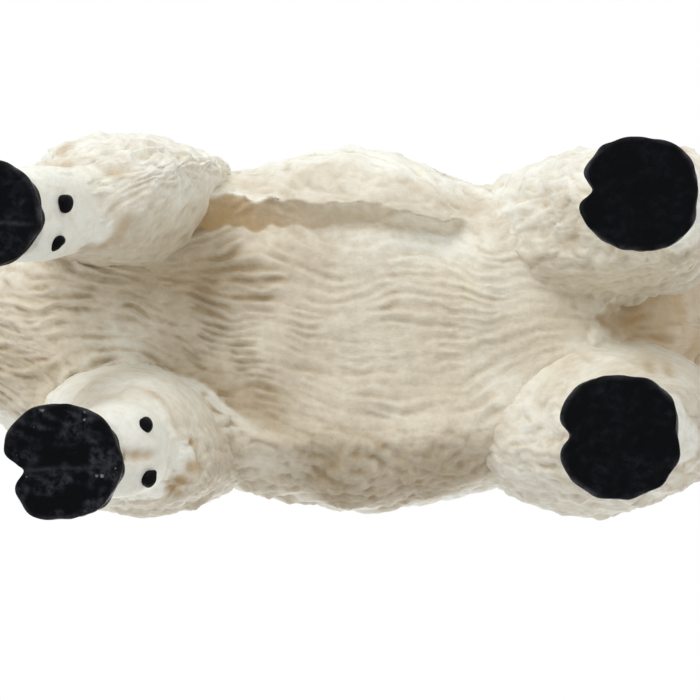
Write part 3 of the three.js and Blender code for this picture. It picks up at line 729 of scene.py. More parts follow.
# Wash lies in the grooves, where it is partly painted shade, and below; in shaded places (the trough, the
# skirt, the breast, the elbow and the crook) it is painted shade. Stain lies in the hollow and the skirt's
# pits, is partly painted shade in the trough and is painted shade on the elbow and the crook.
def torsoPaint(points, x, cavity, at):
    look = torsoLook
    grooves, lessOnSkirt, lessBelow = look["grooveWashAndShade"]
    washAndShade = (grooves - lessOnSkirt * at["skirt"] - lessBelow * at["under"] * (1 - at["chest"])) * cavity
    washAndShade = washAndShade + amountAlong(x, *look["washBelow"]) * at["under"] * (1 - at["skirt"])
    paler = look["troughPaler"] * ramp(x, *look["spans"]["troughPaler"])
    washAndShade = washAndShade + (amountAlong(x, *look["washAndShadeInTrough"]) - paler) * at["trough"]
    washAndShade = washAndShade + amountAlong(x, *look["washOutside"]) * at["outside"] + 0.06 * hills(points, 6.0, 5)
    washAndShade = washAndShade + sum(amount * at[name] for name, amount in look["washAndShade"].items())
    patchy = 0.54 + 0.08 * hills(points, 2.5, 15)
    pits = np.clip(hills(points, 1.7, 16) - 1.1, 0, 1)
    stainAndShade = patchy * at["hollow"] ** 0.5 + amountAlong(x, *look["stainAndShadeInTrough"]) * at["trough"]
    stainAndShade = stainAndShade + at["skirt"] * (0.1 * cavity + 0.3 * pits)
    stainAndShade = stainAndShade + sum(amount * at[name] for name, amount in look["stainAndShade"].items())
    return washAndShade, np.minimum(stainAndShade, look["stainMost"])


def makeTorso():
    look = torsoLook
    points, at = torsoSkin()
    points = raised(points, easedNormals(points), look["swell"] * hills(points, look["swellSize"], 3))
    grid = measured(points)
    at["under"] = ramp(-grid["normal"][..., 2], 0.3, 0.75)
    addTorsoPlaces(grid, at)
    relief = torsoRelief(grid, at)
    sunk = look["sunk"] * (1 - at["under"]) * (1 - at["brink"])
    skin = raised(points, easedNormals(points), relief - sunk)
    # the crook's wash and stain are painted shade
    crook = bell(lineDistance(skin * (1, 1, 0), *look["crook"][:2]), 0, look["crook"][2])
    at["crook"] = crook * at["under"] * (1 - at["folded"])
    washAndShade, stainAndShade = torsoPaint(skin, points[..., 0], hollows(relief, 4, 0.3), at)
    ivoryPiece("torsoFleece", "torso", skin, washAndShade, stainAndShade)


makeTorso()
print("torso made")


# Legs

# height, share of the way from the root to the hoof, offset along x, half length, half width, pastern's give
forelegStations = [
    [5.48, 1.0, -0.7, 2.9, 2.9, 0.3], [8, 1.0, -2.0, 2.9, 3.3, 1], [10.5, 0.93, -2.3, 3.1, 3.3, 1],
    [13, 0.73, -1.9, 3.3, 3.3, 0.8], [15.5, 0.42, -1.6, 4.2, 4.0, 0.55], [18.5, 0.22, -1.1, 5.0, 4.7, 0.3],
    [22, 0.13, -0.8, 5.8, 5.1, 0.12], [26, 0.07, -0.5, 6.6, 5.5, 0], [32, 0.02, 0, 7.8, 5.9, 0],
    [40, 0, 0, 8.2, 5.8, 0], [48, 0, 0.5, 6.8, 4.6, 0], [54, 0, 1.0, 4.5, 3.4, 0],
]
hindLegStations = [
    [5.48, 1.0, -0.4, 2.9, 2.9, 0.3], [8, 1.0, -0.8, 2.9, 2.9, 1], [10.5, 1.0, -1.4, 3.1, 3.0, 1],
    [14, 1.0, -2.4, 2.8, 2.7, 0.8], [17.5, 0.98, -3.4, 3.2, 3.0, 0.5], [20.5, 0.92, -3.6, 4.2, 3.8, 0.3],
    [25, 0.72, -2.8, 6.2, 4.9, 0.1], [31, 0.3, -1.2, 8.6, 5.8, 0], [38, 0, -0.6, 10.0, 6.0, 0],
    [46, 0, -0.4, 8.6, 4.9, 0], [54, 0, -1.0, 4.5, 3.4, 0],
]
legLook = {
    "topDome": 4, "ankleDome": 0.35, "rows": 270, "round": 290, "ridge": 0.06, "sunk": 0.2,
    # root's place along x, way to the belly, height of the hair's hem, how far it stands off, how far above
    # it the marks end
    "front": {"stations": forelegStations, "x": 4, "belly": -1, "hem": 13.8, "hemStep": 0.12, "markTop": 12},
    "hind": {"stations": hindLegStations, "x": -30.2, "belly": 1, "hem": 17.3, "hemStep": 0.3, "markTop": 15},
    "hemRagged": 0.7, "hemRaggedSize": 3.0,
    # wash: everywhere, in grooves of the pastern, more of it in the hair, on the hem, in the marks; in the
    # grooves it is partly painted shade
    "washAndShade": {"base": 0.03, "grooves": 0.22, "hairGrooves": 0.3, "hem": 0.2, "marked": 0.5},
    # stain: on the hem, in patches as painted shade on the hair that faces down, in the marks, and the most
    # there is
    "stainAndShade": {"hem": 0.3, "shadeBeneath": 0.12, "marked": 0.6, "most": 0.9},
}
# root's distance from the middle plane and shift along x, the upper leg's length, girth and boxiness, the cut
# off its corner that faces the belly (on the outer side below 0), how far its outer corners are drawn in, the
# one away from the belly and the one towards it, pastern's shift [x, y], how bare of locks its inner side is,
# how much higher its hem is
# wash: all over, as painted shade beneath, on the inner side, towards the belly, and growing from one place
# [x, y] to another
# marks: x, y, radius, depth, stain
plainLeg = {
    "ahead": 0, "length": 1, "girth": 1.0, "boxiness": 2.4, "outerCut": (0, 0), "hemShift": 0, "tint": 0.0,
    "shade": 0.15, "innerTan": 0.0, "blend": 0.0, "growing": ((0, 0), (1, 0), 0),
}
stance = {
    "front_left": {
        **plainLeg, "side": 1, "spread": 9.6, "ahead": 0.7, "length": 0.9, "girth": 0.85, "boxiness": 3.0,
        "sweep": 4.4, "outerCut": (0, 0.45), "pastern": (-0.2, 0.1), "bare": 0.6, "shade": 0.1,
        "innerTan": 0.15, "growing": ((3.5, 11.2), (3.5, 5.0), 0.3),
        "marks": [(8.9, 13.0, 0.8, 0.12, 0.75), (-2.6, 7.0, 0.8, 0, 0.4)],
    },
    "front_right": {
        **plainLeg, "side": -1, "spread": 8.3, "girth": 0.98, "sweep": 3.6, "outerCut": (0.1, 0),
        "pastern": (-1.2, 0.6), "bare": 0.9, "hemShift": 1.2, "growing": ((2.1, -5.6), (-1.8, -11.2), 0.32),
        "marks": [(0.5, -11.9, 0.5, 0.2, 0.9), (-0.1, -11.1, 0.5, 0.3, 0.9), (-0.7, -10.1, 0.5, 0.3, 0.9),
                  # the three marks at y -9.1 are the crease between the dewclaws: dents whose tan is painted
                  # shade
                  (-0.8, -8.3, 0.3, 0.25, 0.5), (2.0, -9.1, 0.45, 0.3, 0.5), (2.8, -9.1, 0.45, 0.3, 0.6),
                  (3.6, -9.1, 0.45, 0.3, 0.5), (7.0, -4.4, 1.8, 0, 0.3)],
    },
    "hind_left": {
        **plainLeg, "side": 1, "spread": 7.45, "girth": 0.94, "sweep": -1.4, "outerCut": (1.2, 0),
        "pastern": (0, -0.4), "bare": 0.0, "blend": 0.08, "tint": 0.03,
        "growing": ((-26.4, 11.5), (-29, 2.7), 0.25),
        "marks": [(-26.4, 9.3, 0.6, 0.15, 0.3), (-28.5, 6.4, 0.7, 0.15, 0.3)],
    },
    "hind_right": {
        **plainLeg, "side": -1, "spread": 7.6, "girth": 1.16, "sweep": 2.5, "outerCut": (1.3, 0.6),
        "pastern": (0, 0.4), "bare": 0.95, "tint": 0.17,
        "marks": [(-34.2, -2.7, 0.6, 0.1, 0.5), (-35.6, -3.0, 0.5, 0.1, 0.5)],
    },
}
soleCentres = {mount["name"]: [c / mm for c in mount["pos_m"]] for mount in frame["record"]["mounts"]}
legFleece = {**fleece, "length": 4.2, "half": 0.55, "lift": 0.2, "gap": 0.95, "rowGap": 1.3}


# Level rings up a leg about a line that runs from the sole to the root: a squarish oval, with the corner
# that faces the belly cut and the outer corners drawn in.
def legSkin(leg, end, sole):
    look, stations = legLook, end["stations"]
    low, high = stations[0][0], stations[-1][0]
    z = alongPlaces(low, high, (look["ankleDome"], look["topDome"]), look["rows"])
    share, offset, halfLength, halfWidth, give = throughRows(stations, z)[..., None]
    rootX, rootY = end["x"] + leg["ahead"], leg["side"] * leg["spread"]
    z = z[:, None]
    angle = roundAngles(look["round"], leg["boxiness"])[None, :]
    lengthwise, sideways = squarish(angle, leg["boxiness"])
    toBelly, outer = end["belly"] * np.cos(angle), leg["side"] * np.sin(angle)
    close = closing(z, low, high, (look["ankleDome"], look["topDome"]))
    halfLength = halfLength * (leg["length"] + (1 - leg["length"]) * share)
    halfWidth = halfWidth * (leg["girth"] + (1 - leg["girth"]) * share)
    halfCut = leg["sweep"] / 2 * (1 - share) * np.clip(toBelly, 0, None) ** 2
    x = rootX + (sole[0] - rootX) * share + offset + leg["pastern"][0] * give
    y = rootY + (sole[1] - rootY) * share + leg["pastern"][1] * give
    x = x + lengthwise * halfLength * close
    across = sideways * (halfWidth - np.abs(halfCut)) + leg["side"] * halfCut
    corner = np.where(toBelly < 0, *leg["outerCut"]) * np.abs(toBelly) * np.clip(outer, 0, None)
    y = y + across * close - leg["side"] * (1 - share) * 2 * corner * close
    return np.stack([x, y, np.broadcast_to(z, x.shape)], -1)


# Hair that runs down and a little back, dented by the marks, and how marked each point is.
def legRelief(grid, at, leg, end, seed):
    points, z, hairy, inner = grid["points"], at["z"], at["hairy"], at["innerSide"] * leg["bare"]
    zero = np.zeros_like(z)
    flow = np.stack([zero - 0.15 - 0.5 * ramp(z, 25, 45), zero, zero - 1], -1)
    flow = strayed(flow, np.cross(flow, grid["normal"]), points, 0.3, 3.0, seed + 6)
    relief = combed(grid, flow, legFleece, hairy * (1 - inner), seed + 1)
    ridges = streaks(grid, flow, 0.5, 3.5, seed + 2) * legLook["ridge"]
    relief = relief + ridges * (0.12 + 0.88 * hairy) * (1 - 0.6 * inner)
    marked = zero
    for markX, markY, radius, depth, tan in leg["marks"]:
        mark = bell(np.hypot(points[..., 0] - markX, points[..., 1] - markY), 0, radius)
        mark = mark * ramp(at["hem"] + end["markTop"] - z, 0, 6)
        relief, marked = relief - depth * mark, marked + tan * mark
    return relief, marked


# Wash in the grooves (partly painted shade), on the hem, as painted shade beneath and where the leg's values
# say; stain on the hem, the marks and in patches of painted shade beneath.
def legPaint(points, normal, cavity, at, leg, end, seed):
    z, hairy, marked, paint = at["z"], at["hairy"], at["marked"], legLook["washAndShade"]
    normalX, normalY, normalZ = np.moveaxis(normal, -1, 0)
    edge = bell(z, at["hem"], 0.7)
    # painted shade on the hair that faces down and back
    shadeBeneath = hairy * ramp(-normalZ - 0.5 * normalX, 0.1, 0.8)
    facing = ramp(end["belly"] * normalX - leg["side"] * normalY, -0.2, 0.8)
    (fromX, fromY), (toX, toY), amount = leg["growing"]
    way = (points[..., 0] - fromX) * (toX - fromX) + (points[..., 1] - fromY) * (toY - fromY)
    grown = amount * ramp(way / math.hypot(toX - fromX, toY - fromY) ** 2, 0.1, 1) * ramp(44 - z, 0, 18)
    washAndShade = paint["base"] + (paint["grooves"] + paint["hairGrooves"] * hairy) * cavity
    washAndShade = washAndShade + leg["shade"] * shadeBeneath + paint["hem"] * edge + paint["marked"] * marked
    tint = leg["tint"] + leg["innerTan"] * at["innerSide"] + 0.05 * hills(points, 5.0, seed)
    washAndShade = washAndShade + hairy * (tint + grown) + leg["blend"] * facing * ramp(z, 18, 26)
    patches = np.clip(hills(points, 2.5, seed + 4) - 0.5, 0, 1)
    paint = legLook["stainAndShade"]
    stainAndShade = (paint["hem"] * edge + paint["shadeBeneath"] * shadeBeneath) * patches + paint["marked"] * marked
    return washAndShade, np.minimum(stainAndShade, paint["most"])


def makeLeg(name, seed):
    leg, end = stance[name], legLook[name.split("_")[0]]
    points = legSkin(leg, end, soleCentres[name + "_sole"])
    normal, z = measured(points)["normal"], points[..., 2]
    hem = end["hem"] + leg["hemShift"]
    hem = hem + legLook["hemRagged"] * hills(points * (1, 1, 0), legLook["hemRaggedSize"], seed + 5)
    hairy = ramp(z - hem, -0.6, 0.8)
    innerSide = ramp(-leg["side"] * normal[..., 1], 0.0, 0.7)
    at = {"z": z, "hem": hem, "hairy": hairy, "innerSide": innerSide}
    bulk = 0.1 * hills(points, 5.0, seed) + 0.09 * hills(points, 2.2, seed + 7)
    bulk = bulk + end["hemStep"] * ramp(hem + 9 - z, 0, 8)
    points = raised(points, normal, hairy * (1 - 0.7 * (innerSide * leg["bare"])) * bulk)
    grid = measured(points)
    relief, at["marked"] = legRelief(grid, at, leg, end, seed)
    points = raised(points, grid["normal"], relief - legLook["sunk"] * hairy)
    washAndShade, stainAndShade = legPaint(points, grid["normal"], hollows(relief, 4, 0.28), at, leg, end, seed)
    ivoryPiece(name + "_legHair", name + "_leg", points, washAndShade, stainAndShade)


for number, legName in enumerate(stance):
    makeLeg(legName, 100 + 10 * number)
print("legs made")


# Hooves and dewclaws

hoofLook = {
    "radius": 4.0, "height": 5.45, "leanBack": 0.4, "rows": 76, "round": 180,
    # place along the profile, share of the radius, share of the height, from the sole's middle to the top's
    "profile": [
        [0, 0, 0], [0.2, 0.5, 0], [0.42, 0.92, 0], [0.46, 0.97, 0.008], [0.5, 0.995, 0.04], [0.54, 1.0, 0.09],
        [0.63, 0.97, 0.35], [0.76, 0.87, 0.75], [0.84, 0.77, 0.97], [0.88, 0.68, 1.0], [1, 0, 1.0],
    ],
    "cleftWidth": 0.17, "heelWidth": 0.2,  # in radians
    "groove": (0.07, 0.14),  # the line across the sole: depth and half width
    "ring": 0.012, "ringTurns": 26,  # growth rings on the wall
    "uneven": 0.04, "unevenSize": 1.6,
}
# stretch along and across, turn of the toe in degrees, cleft's and heel's dent as shares of the radius,
# boxiness, how much shorter the right claw's toe is, how far the line between the claws lies off the middle,
# its strength, how much dust and painted sheen the sole has
hoofShapes = {
    "front_left": (0.97, 0.93, 2, 0.3, -0.08, 2.1, 0, -0.16, 1, 0.4),
    "front_right": (0.99, 0.99, -3, 0.34, -0.09, 2.4, 0.16, -0.1, 1, 1.0),
    "hind_left": (1.03, 0.98, 3, 0.22, 0.02, 2.2, -0.04, 0.03, 0, 0.12),
    "hind_right": (1.07, 1.06, -2, 0.2, 0.08, 2.25, 0, 0.03, 0, 0.2),
}
dewclawLook = {"radius": 0.6, "stretch": 1.25, "rows": 24, "round": 32, "uneven": 0.06, "wearAndSheen": 0.1}
# how much longer than wide a dewclaw is seen from below, and its slant in degrees
dewclawShapes = {"front_right_dewclaw_outer": (1.45, 130), "front_left_dewclaw_outer": (1.2, 80),
                 "front_left_dewclaw_inner": (1.35, 150)}


# Two coordinates turned about zero.
def turned(x, y, degrees):
    cosine, sine = math.cos(math.radians(degrees)), math.sin(math.radians(degrees))
    return x * cosine - y * sine, x * sine + y * cosine


# Rings from the middle of the sole, out to the rim, up the wall and in again: a squarish, cleft round.
def makeHoof(name, seed):
    look, centre = hoofLook, soleCentres[name + "_sole"]
    t = np.linspace(0, 1, look["rows"])
    share, rise = np.clip(throughRows(look["profile"], t)[..., None], 0, None)
    rise = np.minimum(rise, 1)
    along, across, turn, toe, heel, boxiness, uneven, split, lined, dustAndSheenAmount = hoofShapes[name]
    angle = roundAngles(look["round"], boxiness)[None, :]
    fromToe = np.angle(np.exp(1j * (angle - split)))
    fromHeel = np.angle(np.exp(1j * (angle + split - math.pi)))
    cleft = toe * bell(fromToe, 0, look["cleftWidth"]) + heel * bell(fromHeel, 0, look["heelWidth"])
    lobes = 1 + 0.012 * np.cos(3 * angle + seed) + 0.008 * np.cos(5 * angle + 2 * seed)
    radius = look["radius"] * share * (1 - cleft * share ** 2) * lobes
    along = along * (1 - uneven * ramp(-np.sin(angle), 0, 0.4) * np.clip(np.cos(angle), 0, None))
    lengthwise, sideways = squarish(angle, boxiness)
    x, y = radius * lengthwise * along, radius * sideways * across
    depth, half = look["groove"]
    onSole = ramp(0.03 - rise, 0, 0.03)
    line = lined * onSole * bell(y, split * look["radius"], half)
    line = line * ramp(0.95 * look["radius"] - np.abs(x), 0, 1)
    rings = look["ring"] * np.sin(rise * look["ringTurns"] + 0.6 * np.cos(2 * angle))
    rings = 1 + rings * ramp(rise, 0.06, 0.2) * ramp(0.97 - rise, 0, 0.1)
    x, y = turned(x * rings, y * rings, turn)
    points = np.stack([centre[0] + x - look["leanBack"] * rise, centre[1] + y,
                       look["height"] * rise + depth * line], -1)
    bumps = look["uneven"] * hills(points, look["unevenSize"], seed) * (1 - 0.6 * onSole)
    points = raised(points, measured(points)["normal"], bumps)
    points[..., 2] = np.clip(points[..., 2], 0, None)
    # the rim's lighter grey is a painted highlight where the bevel of the sole catches the light; the
    # groove's pale line adds to it
    rimHighlight = bell(rise, 0.05, 0.06) * ramp(share, 0.9, 0.98)
    wearAndSheen = rimHighlight * (0.5 + 0.45 * hills(points, 2.0, seed + 1)) + 0.6 * line
    smear = np.clip(0.3 + 0.4 * hills(points, 2.6, seed + 2) + 0.3 * hills(points, 0.9, seed + 3), 0, 1)
    fields = {"wearAndSheen": np.clip(wearAndSheen, 0, 1), "dust": dustAndSheenAmount * smear * (0.3 + 0.7 * onSole)}
    meshFromGrid(name + "_hoofEnamel", points, fields, hoofBlack, [name + "_hoof"])


# Unit ball in rings from its lowest point to its highest.
def ball(look):
    tilt = np.linspace(0, math.pi, look["rows"])[:, None]
    angle = roundAngles(look["round"])[None, :]
    return np.sin(tilt) * np.cos(angle), np.sin(tilt) * np.sin(angle), -np.cos(tilt) * np.ones_like(angle)


# A small egg on the back of the pastern, with an uneven skin.
def makeDewclaw(node, seed):
    look = dewclawLook
    low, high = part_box(node)
    centre = [(a + b) / 2 / mm for a, b in zip(low, high)]
    longer, slant = dewclawShapes.get(node, (1.0, 0))
    far, wide, z = ball(look)
    x, y = turned(far * longer ** 0.5, wide / longer ** 0.5, slant)
    points = np.stack([x, y, z * look["stretch"]], -1) * look["radius"] + centre
    points = raised(points, measured(points)["normal"], look["uneven"] * hills(points, 1.2, seed))
    fields = {"wearAndSheen": np.full(x.shape, look["wearAndSheen"])}
    meshFromGrid(node + "Enamel", points, fields, hoofBlack, [node])


for number, legName in enumerate(stance):
    makeHoof(legName, 200 + 10 * number)
    makeDewclaw(legName + "_dewclaw_inner", 300 + 10 * number)
    makeDewclaw(legName + "_dewclaw_outer", 305 + 10 * number)
print("hooves made")


# Head

headLook = {
    # top x, z, bottom x, z, half width, from inside the chest to the nose
    "stations": [
        [3, 58.5, 14, 39, 8.0], [9.5, 61.8, 19.5, 41, 7.2], [15.5, 63.8, 24, 44.8, 6.5],
        [21, 65.4, 27, 49.5, 5.9], [25.5, 66.8, 28.6, 53, 5.3], [28.6, 67.4, 29.6, 54.4, 5.0],
        [31.2, 66.4, 30.9, 54.6, 5.1], [33.6, 64.4, 32.4, 54.2, 4.8], [36, 61.6, 34.4, 53, 4.1],
        [38.4, 58.9, 36.7, 51.6, 3.4], [41, 56.4, 39, 50.1, 3.0], [43.4, 54.4, 41, 48.9, 3.1],
        [45.2, 52.2, 43.1, 48.3, 2.5],
    ],
    "domes": (3, 1.7), "boxiness": 2.2, "rows": 240, "round": 190, "sunk": 0.2,
    "eye": (33.29, 4.4, 60.83), "nostril": (44.3, 1.5, 52.2), "mouth": [(44.6, 0.6, 49.7), (38.6, 3.0, 51.6)],
    "noseTip": (44.6, 0, 51.8), "neck": [(8, 0, 50), (29.2, 0, 61.5)], "locksEnd": 25,
    # rings about the eyes and nostrils, and the dents of eyes, nostrils and mouth
    "lids": 0.45, "socket": 0.4, "nostrilDent": 0.55, "nostrilRing": 0.2, "mouthDent": 0.28,
}
neckLocks = {"height": 1.2, "girth": 8, "end": 26}
neckFleece = {**fleece, "length": 6.0, "half": 1.0, "lift": 0.36}


# Rings from the chest to the nose, each between a top and a bottom point of the profile: a squarish oval.
def headSkin():
    look = headLook
    rows = np.array(look["stations"], float)
    middles = (rows[:, 0:2] + rows[:, 2:4]) / 2
    stops = pathStops(middles)
    s = alongPlaces(0, stops[-1], look["domes"], look["rows"])
    topX, topZ, lowX, lowZ, half = throughRows(np.column_stack([stops, rows]), s)[..., None]
    close = closing(s, 0, stops[-1], look["domes"])[:, None]
    angle = roundAngles(look["round"], look["boxiness"])[None, :]
    aside, up = [wave * close for wave in squarish(angle, look["boxiness"])]
    return np.stack([(topX + lowX) / 2 + up * (topX - lowX) / 2, aside * half,
                     (topZ + lowZ) / 2 + up * (topZ - lowZ) / 2], -1)


def makeHead():
    look = headLook
    points = headSkin()
    normal = measured(points)["normal"]
    folded = np.stack([points[..., 0], np.abs(points[..., 1]), points[..., 2]], -1)
    eyeGap = np.linalg.norm(folded - look["eye"], axis=-1)
    nostrilGap = np.linalg.norm((folded - look["nostril"]) * (1, 1, 0.7), axis=-1)
    mouthGap = lineDistance(folded, *look["mouth"])
    shape = look["lids"] * bell(eyeGap, 1.35, 0.4) - look["socket"] * bell(eyeGap, 0, 0.9)
    shape = shape - look["nostrilDent"] * bell(nostrilGap, 0, 0.5)
    shape = shape + look["nostrilRing"] * bell(nostrilGap, 0.9, 0.35)
    shape = shape - look["mouthDent"] * bell(mouthGap, 0, 0.28)
    root, end = np.array(look["neck"])
    axis = (end - root) / np.linalg.norm(end - root)
    along, up = (points - root) @ axis, (points - root) @ np.array([-axis[2], 0, axis[0]])
    mane = lockHeight(along, np.arctan2(points[..., 1], up), neckLocks) * ramp(look["locksEnd"] - along, 0, 6)
    points = raised(points, normal, shape + mane)
    grid = measured(points)
    face = ramp(points[..., 0] - 0.25 * (points[..., 2] - 55), 27, 31)
    zero = np.zeros_like(face)
    hang = np.stack([zero - 0.55, zero, zero - 0.9], -1)
    back = np.stack([zero - 0.8, zero, zero + 0.55], -1)
    flow = hang * (1 - face[..., None]) + back * face[..., None]
    flow = strayed(flow, np.cross(flow, grid["normal"]), points, 0.25, 4.0, 31)
    relief = combed(grid, flow, neckFleece, 1 - face, 32)
    relief = relief + streaks(grid, flow, 0.6, 5.0, 33) * (0.08 - 0.05 * face)
    points = raised(points, grid["normal"], relief - look["sunk"] * (1 - face))
    # the wash in the hollows is partly painted shade
    washAndShade = 0.06 + 0.6 * hollows(relief, 4, 0.3) + 0.02 * (1 - face)
    washAndShade = washAndShade + 0.5 * bell(mouthGap, 0, 0.5) + 0.4 * bell(eyeGap, 1.4, 0.8)
    nose = 0.75 * ramp(2.6 - np.linalg.norm(points - look["noseTip"], axis=-1), 0, 1.6)
    nose = nose + 0.9 * bell(nostrilGap, 0, 0.5)
    ivoryPiece("headHair", "head", points, washAndShade, 0.5 * bell(mouthGap, 0, 0.25), nose)


# A ball whose pole looks out to the side, with the pupil as a level bar on it.
def makeEye(word, side):
    look = eyeLook
    z, x, out = ball(look)
    length, height = look["bar"]
    pupil = ramp(1 - (x / length) ** 4 - (z / height) ** 4, -0.2, 0.2) * (out > 0)
    centre = np.array(headLook["eye"]) * (1, side, 1)
    points = np.stack([side * x, side * out, z], -1) * look["radius"] + centre
    meshFromGrid(word + "_eyeGloss", points, {"pupil": pupil}, eyeGloss, [word + "_eye"])


makeHead()
makeEye("left", 1)
makeEye("right", -1)
print("head made")


# Horns, ears, beard and tail

# The base is where the piece leaves its carrier, the path is [x, side, z] from it, a section is
# [share of the length, half width, half depth] and flat is the direction that the width keeps to.
outgrowths = {
    "horn": {
        "base": (30.83, 2.1, 64.59), "path": [[0, 0, 0], [0.6, 0.5, 5], [-1.2, 1.3, 10.5], [-5.6, 2.2, 15]],
        "sections": [[0, 2.0, 2.1], [0.3, 1.6, 1.8], [0.7, 1.0, 1.1], [1, 0.45, 0.45]], "flat": (0, 1, 0),
        "rows": 130, "round": 56, "rings": (0.16, 1.15),
    },
    "ear": {
        "base": (27.45, 3.5, 63.34), "path": [[0, 0, 0], [-1.6, 3.4, 1.3], [-4.0, 7.4, 1.6]],
        "sections": [[0, 0.9, 0.8], [0.45, 1.9, 0.75], [0.8, 1.3, 0.6], [1, 0.5, 0.4]], "flat": (0, 0, 1),
        "rows": 80, "round": 72, "cup": 0.75,
    },
    "beard": {
        "base": (36.4, 0, 53.37), "path": [[0, 0, 0], [-0.4, 0, -5], [-2.6, 0, -11.5]],
        "sections": [[0, 1.9, 1.7], [0.35, 2.2, 1.9], [0.75, 1.4, 1.2], [1, 0.5, 0.45]], "flat": (0, 1, 0),
        "rows": 130, "round": 96,
    },
    "tail": {
        "base": (-38.2, 0, 52), "path": [[0, 0, 0], [-3.4, 0, -0.6], [-5.0, 0, -4.5], [-5.0, 0, -9.5]],
        "sections": [[0, 2.4, 2.0], [0.35, 2.8, 1.9], [0.7, 2.4, 1.5], [1, 0.9, 0.7]], "flat": (0, 1, 0),
        "rows": 130, "round": 110,
    },
}
tipDome = 0.12  # share of the length over which both ends round off
tuft = {**fleece, "length": 4.0, "half": 0.55, "lift": 0.4, "gap": 0.8, "rowGap": 1.3, "stray": 0.12}
earHair = {**tuft, "length": 2.4, "half": 0.35, "lift": 0.22, "gap": 0.6, "rowGap": 0.9}


# An oval carried along a smooth path, rounded off at both ends.
def taperSkin(form, side):
    path = (np.array(form["path"], float) + form["base"]) * (1, side, 1)
    stops = pathStops(path)
    t = alongPlaces(0, 1, (tipDome, tipDome), form["rows"])
    centre = throughRows(np.column_stack([stops / stops[-1], path]), t).T
    wide, deep = throughRows(form["sections"], t)
    close = closing(t, 0, 1, (tipDome, tipDome))
    tangent = np.gradient(centre, t, axis=0)
    tangent /= np.linalg.norm(tangent, axis=1, keepdims=True)
    depthAxis = np.cross(tangent, form["flat"])
    depthAxis /= np.linalg.norm(depthAxis, axis=1, keepdims=True)
    widthAxis = np.cross(depthAxis, tangent)
    angle = roundAngles(form["round"])[None, :, None]
    across = widthAxis[:, None] * (wide * close)[:, None, None] * np.cos(angle)
    points = centre[:, None] + across + depthAxis[:, None] * (deep * close)[:, None, None] * np.sin(angle)
    return points, t[:, None], angle[..., 0], stops[-1], depthAxis[:, None]


# Growth rings that fade towards the tip.
def makeHorn(word, side):
    form = outgrowths["horn"]
    points, t, angle, length, _ = taperSkin(form, side)
    height, pitch = form["rings"]
    wave = t * length / pitch + 0.12 * np.cos(angle) + 0.05 * hills(points, 2.0, 41)
    rings = np.abs(np.sin(math.pi * wave)) ** 0.6
    swell = height * (1 - 0.75 * t) * (rings - 0.6) * ramp(1 - t, 0, 0.25)
    points = raised(points, measured(points)["normal"], swell)
    wearAndSheen = np.clip(0.6 * rings * (1 - t) + 0.2 * t, 0, 1)
    meshFromGrid(word + "_hornEnamel", points, {"wearAndSheen": wearAndSheen}, hornBlack, [word + "_horn"])


# A leaf whose front is pressed in to a cup.
def makeEar(word, side):
    form = outgrowths["ear"]
    points, t, angle, _, depthAxis = taperSkin(form, side)
    forward = np.where(depthAxis[..., :1] > 0, 1, -1)
    inside = ramp(forward[..., 0] * np.sin(angle), 0.15, 0.7) * np.sin(math.pi * np.clip(t, 0, 1)) ** 0.7
    points = points - forward * depthAxis * (form["cup"] * inside)[..., None]
    grid = measured(points)
    flow = strayed(grid["along"], grid["round"], points, 0.2, 2.5, 51)
    relief = combed(grid, flow, earHair, (1 - 0.7 * inside) * ramp(1 - t, 0, 0.3), 52)
    points = raised(points, grid["normal"], relief - 0.1)
    # the wash in the hollows of the hair is partly painted shade
    washAndShade = 0.08 + 0.4 * inside + 0.6 * hollows(relief, 3, 0.15)
    ivoryPiece(word + "_earHair", word + "_ear", points, washAndShade, 0.2 * inside)


# Long locks that run to the tip.
def makeTuft(name, seed):
    points = taperSkin(outgrowths[name], 1)[0]
    grid = measured(points)
    flow = strayed(grid["along"], grid["round"], points, 0.15, 3.0, seed)
    relief = combed(grid, flow, tuft, np.ones_like(grid["rowGap"]), seed + 1)
    relief = relief + streaks(grid, flow, 0.5, 4.0, seed + 2) * 0.06
    points = raised(points, grid["normal"], relief - 0.2)
    # the wash in the hollows is partly painted shade
    ivoryPiece(name + "Hair", name, points, 0.15 + 0.7 * hollows(relief, 4, 0.3))


for sideWord, sideSign in (("left", 1), ("right", -1)):
    makeHorn(sideWord, sideSign)
    makeEar(sideWord, sideSign)
makeTuft("beard", 61)
makeTuft("tail", 71)
print("horns, ears, beard and tail made")


# Stage

stageLook = {
    "floor": "#e9e8e6", "floorSize": 3.0, "background": "#ffffff", "ambient": 0.72,
    "lamps": {  # place in metres, size, watts
        "key": ((0.12, 0.36, -0.26), 0.25, 1.0),
        "top": ((-0.05, -0.1, 0.62), 0.5, 1.8),
    },
    "aim": (-0.012, 0, 0.03),
}
cameraLook = {"place": (-12.07, -1.7, -300), "lens": 225.6, "sensor": 36}


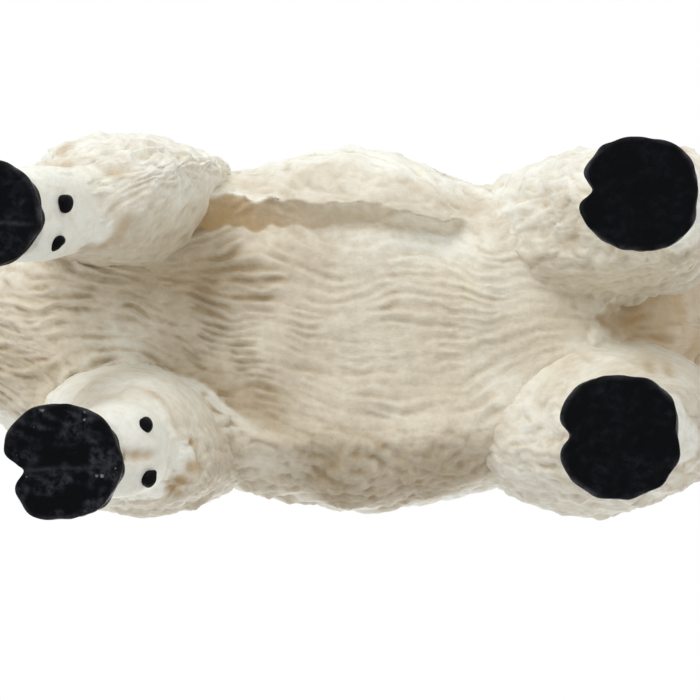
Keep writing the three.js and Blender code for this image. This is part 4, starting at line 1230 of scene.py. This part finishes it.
# A pale floor that the camera sees only from above, so that the view from below looks through it.
def makeFloor():
    look = stageLook
    half = look["floorSize"] / 2
    corners = [(-half, -half, 0), (half, -half, 0), (half, half, 0), (-half, half, 0)]
    mesh = bpy.data.meshes.new("floor")
    mesh.from_pydata(corners, [], [(0, 1, 2, 3)])
    material, tree = newMaterial("paleFloor")
    ray = addNode(tree, "ShaderNodeLightPath").outputs["Is Camera Ray"]
    behind = addNode(tree, "ShaderNodeNewGeometry").outputs["Backfacing"]
    shown = reckoned(tree, "SUBTRACT", ray, behind, clamp=True)
    clear = addNode(tree, "ShaderNodeBsdfTransparent").outputs["BSDF"]
    pale = addNode(tree, "ShaderNodeBsdfDiffuse", None, {"Color": linear(look["floor"])}).outputs["BSDF"]
    mixed = addNode(tree, "ShaderNodeMixShader", None, {0: shown, 1: clear, 2: pale})
    addNode(tree, "ShaderNodeOutputMaterial", None, {"Surface": mixed.outputs["Shader"]})
    mesh.materials.append(material)
    floor = placed("floor", mesh)


# A white surround that lights the figure less than it shows, and two soft lamps.
def makeLights():
    world = bpy.data.worlds.new("studio")
    world.use_nodes = True
    tree = world.node_tree
    tree.nodes.clear()
    path = addNode(tree, "ShaderNodeLightPath").outputs
    seen = path["Is Camera Ray"]
    for kind in ("Is Glossy Ray", "Is Transmission Ray"):
        seen = reckoned(tree, "MAXIMUM", seen, path[kind])
    strength = mapped(tree, seen, (0, 1), (stageLook["ambient"], 1))
    inputs = {"Color": linear(stageLook["background"]), "Strength": strength}
    white = addNode(tree, "ShaderNodeBackground", None, inputs)
    addNode(tree, "ShaderNodeOutputWorld", None, {"Surface": white.outputs["Background"]})
    bpy.context.scene.world = world
    for name, (place, size, watts) in stageLook["lamps"].items():
        lamp = bpy.data.lights.new(name, "AREA")
        lamp.size, lamp.energy = size, watts
        light = placed(name, lamp)
        light.location = place
        toward = Vector(stageLook["aim"]) - Vector(place)
        light.rotation_euler = toward.to_track_quat("-Z", "Y").to_euler()


# The camera is under the figure and looks straight up, with the head to the left of the picture.
def makeCamera():
    lens = bpy.data.cameras.new("underside")
    lens.sensor_width, lens.lens = cameraLook["sensor"], cameraLook["lens"]
    lens.clip_start = 0.01
    camera = placed("underside", lens)
    camera.location = [c * mm for c in cameraLook["place"]]
    camera.rotation_euler = (0, math.pi, 0)
    bpy.context.scene.camera = camera


makeFloor()
makeLights()
makeCamera()
bpy.context.scene.view_settings.view_transform = "Standard"
print("stage made")
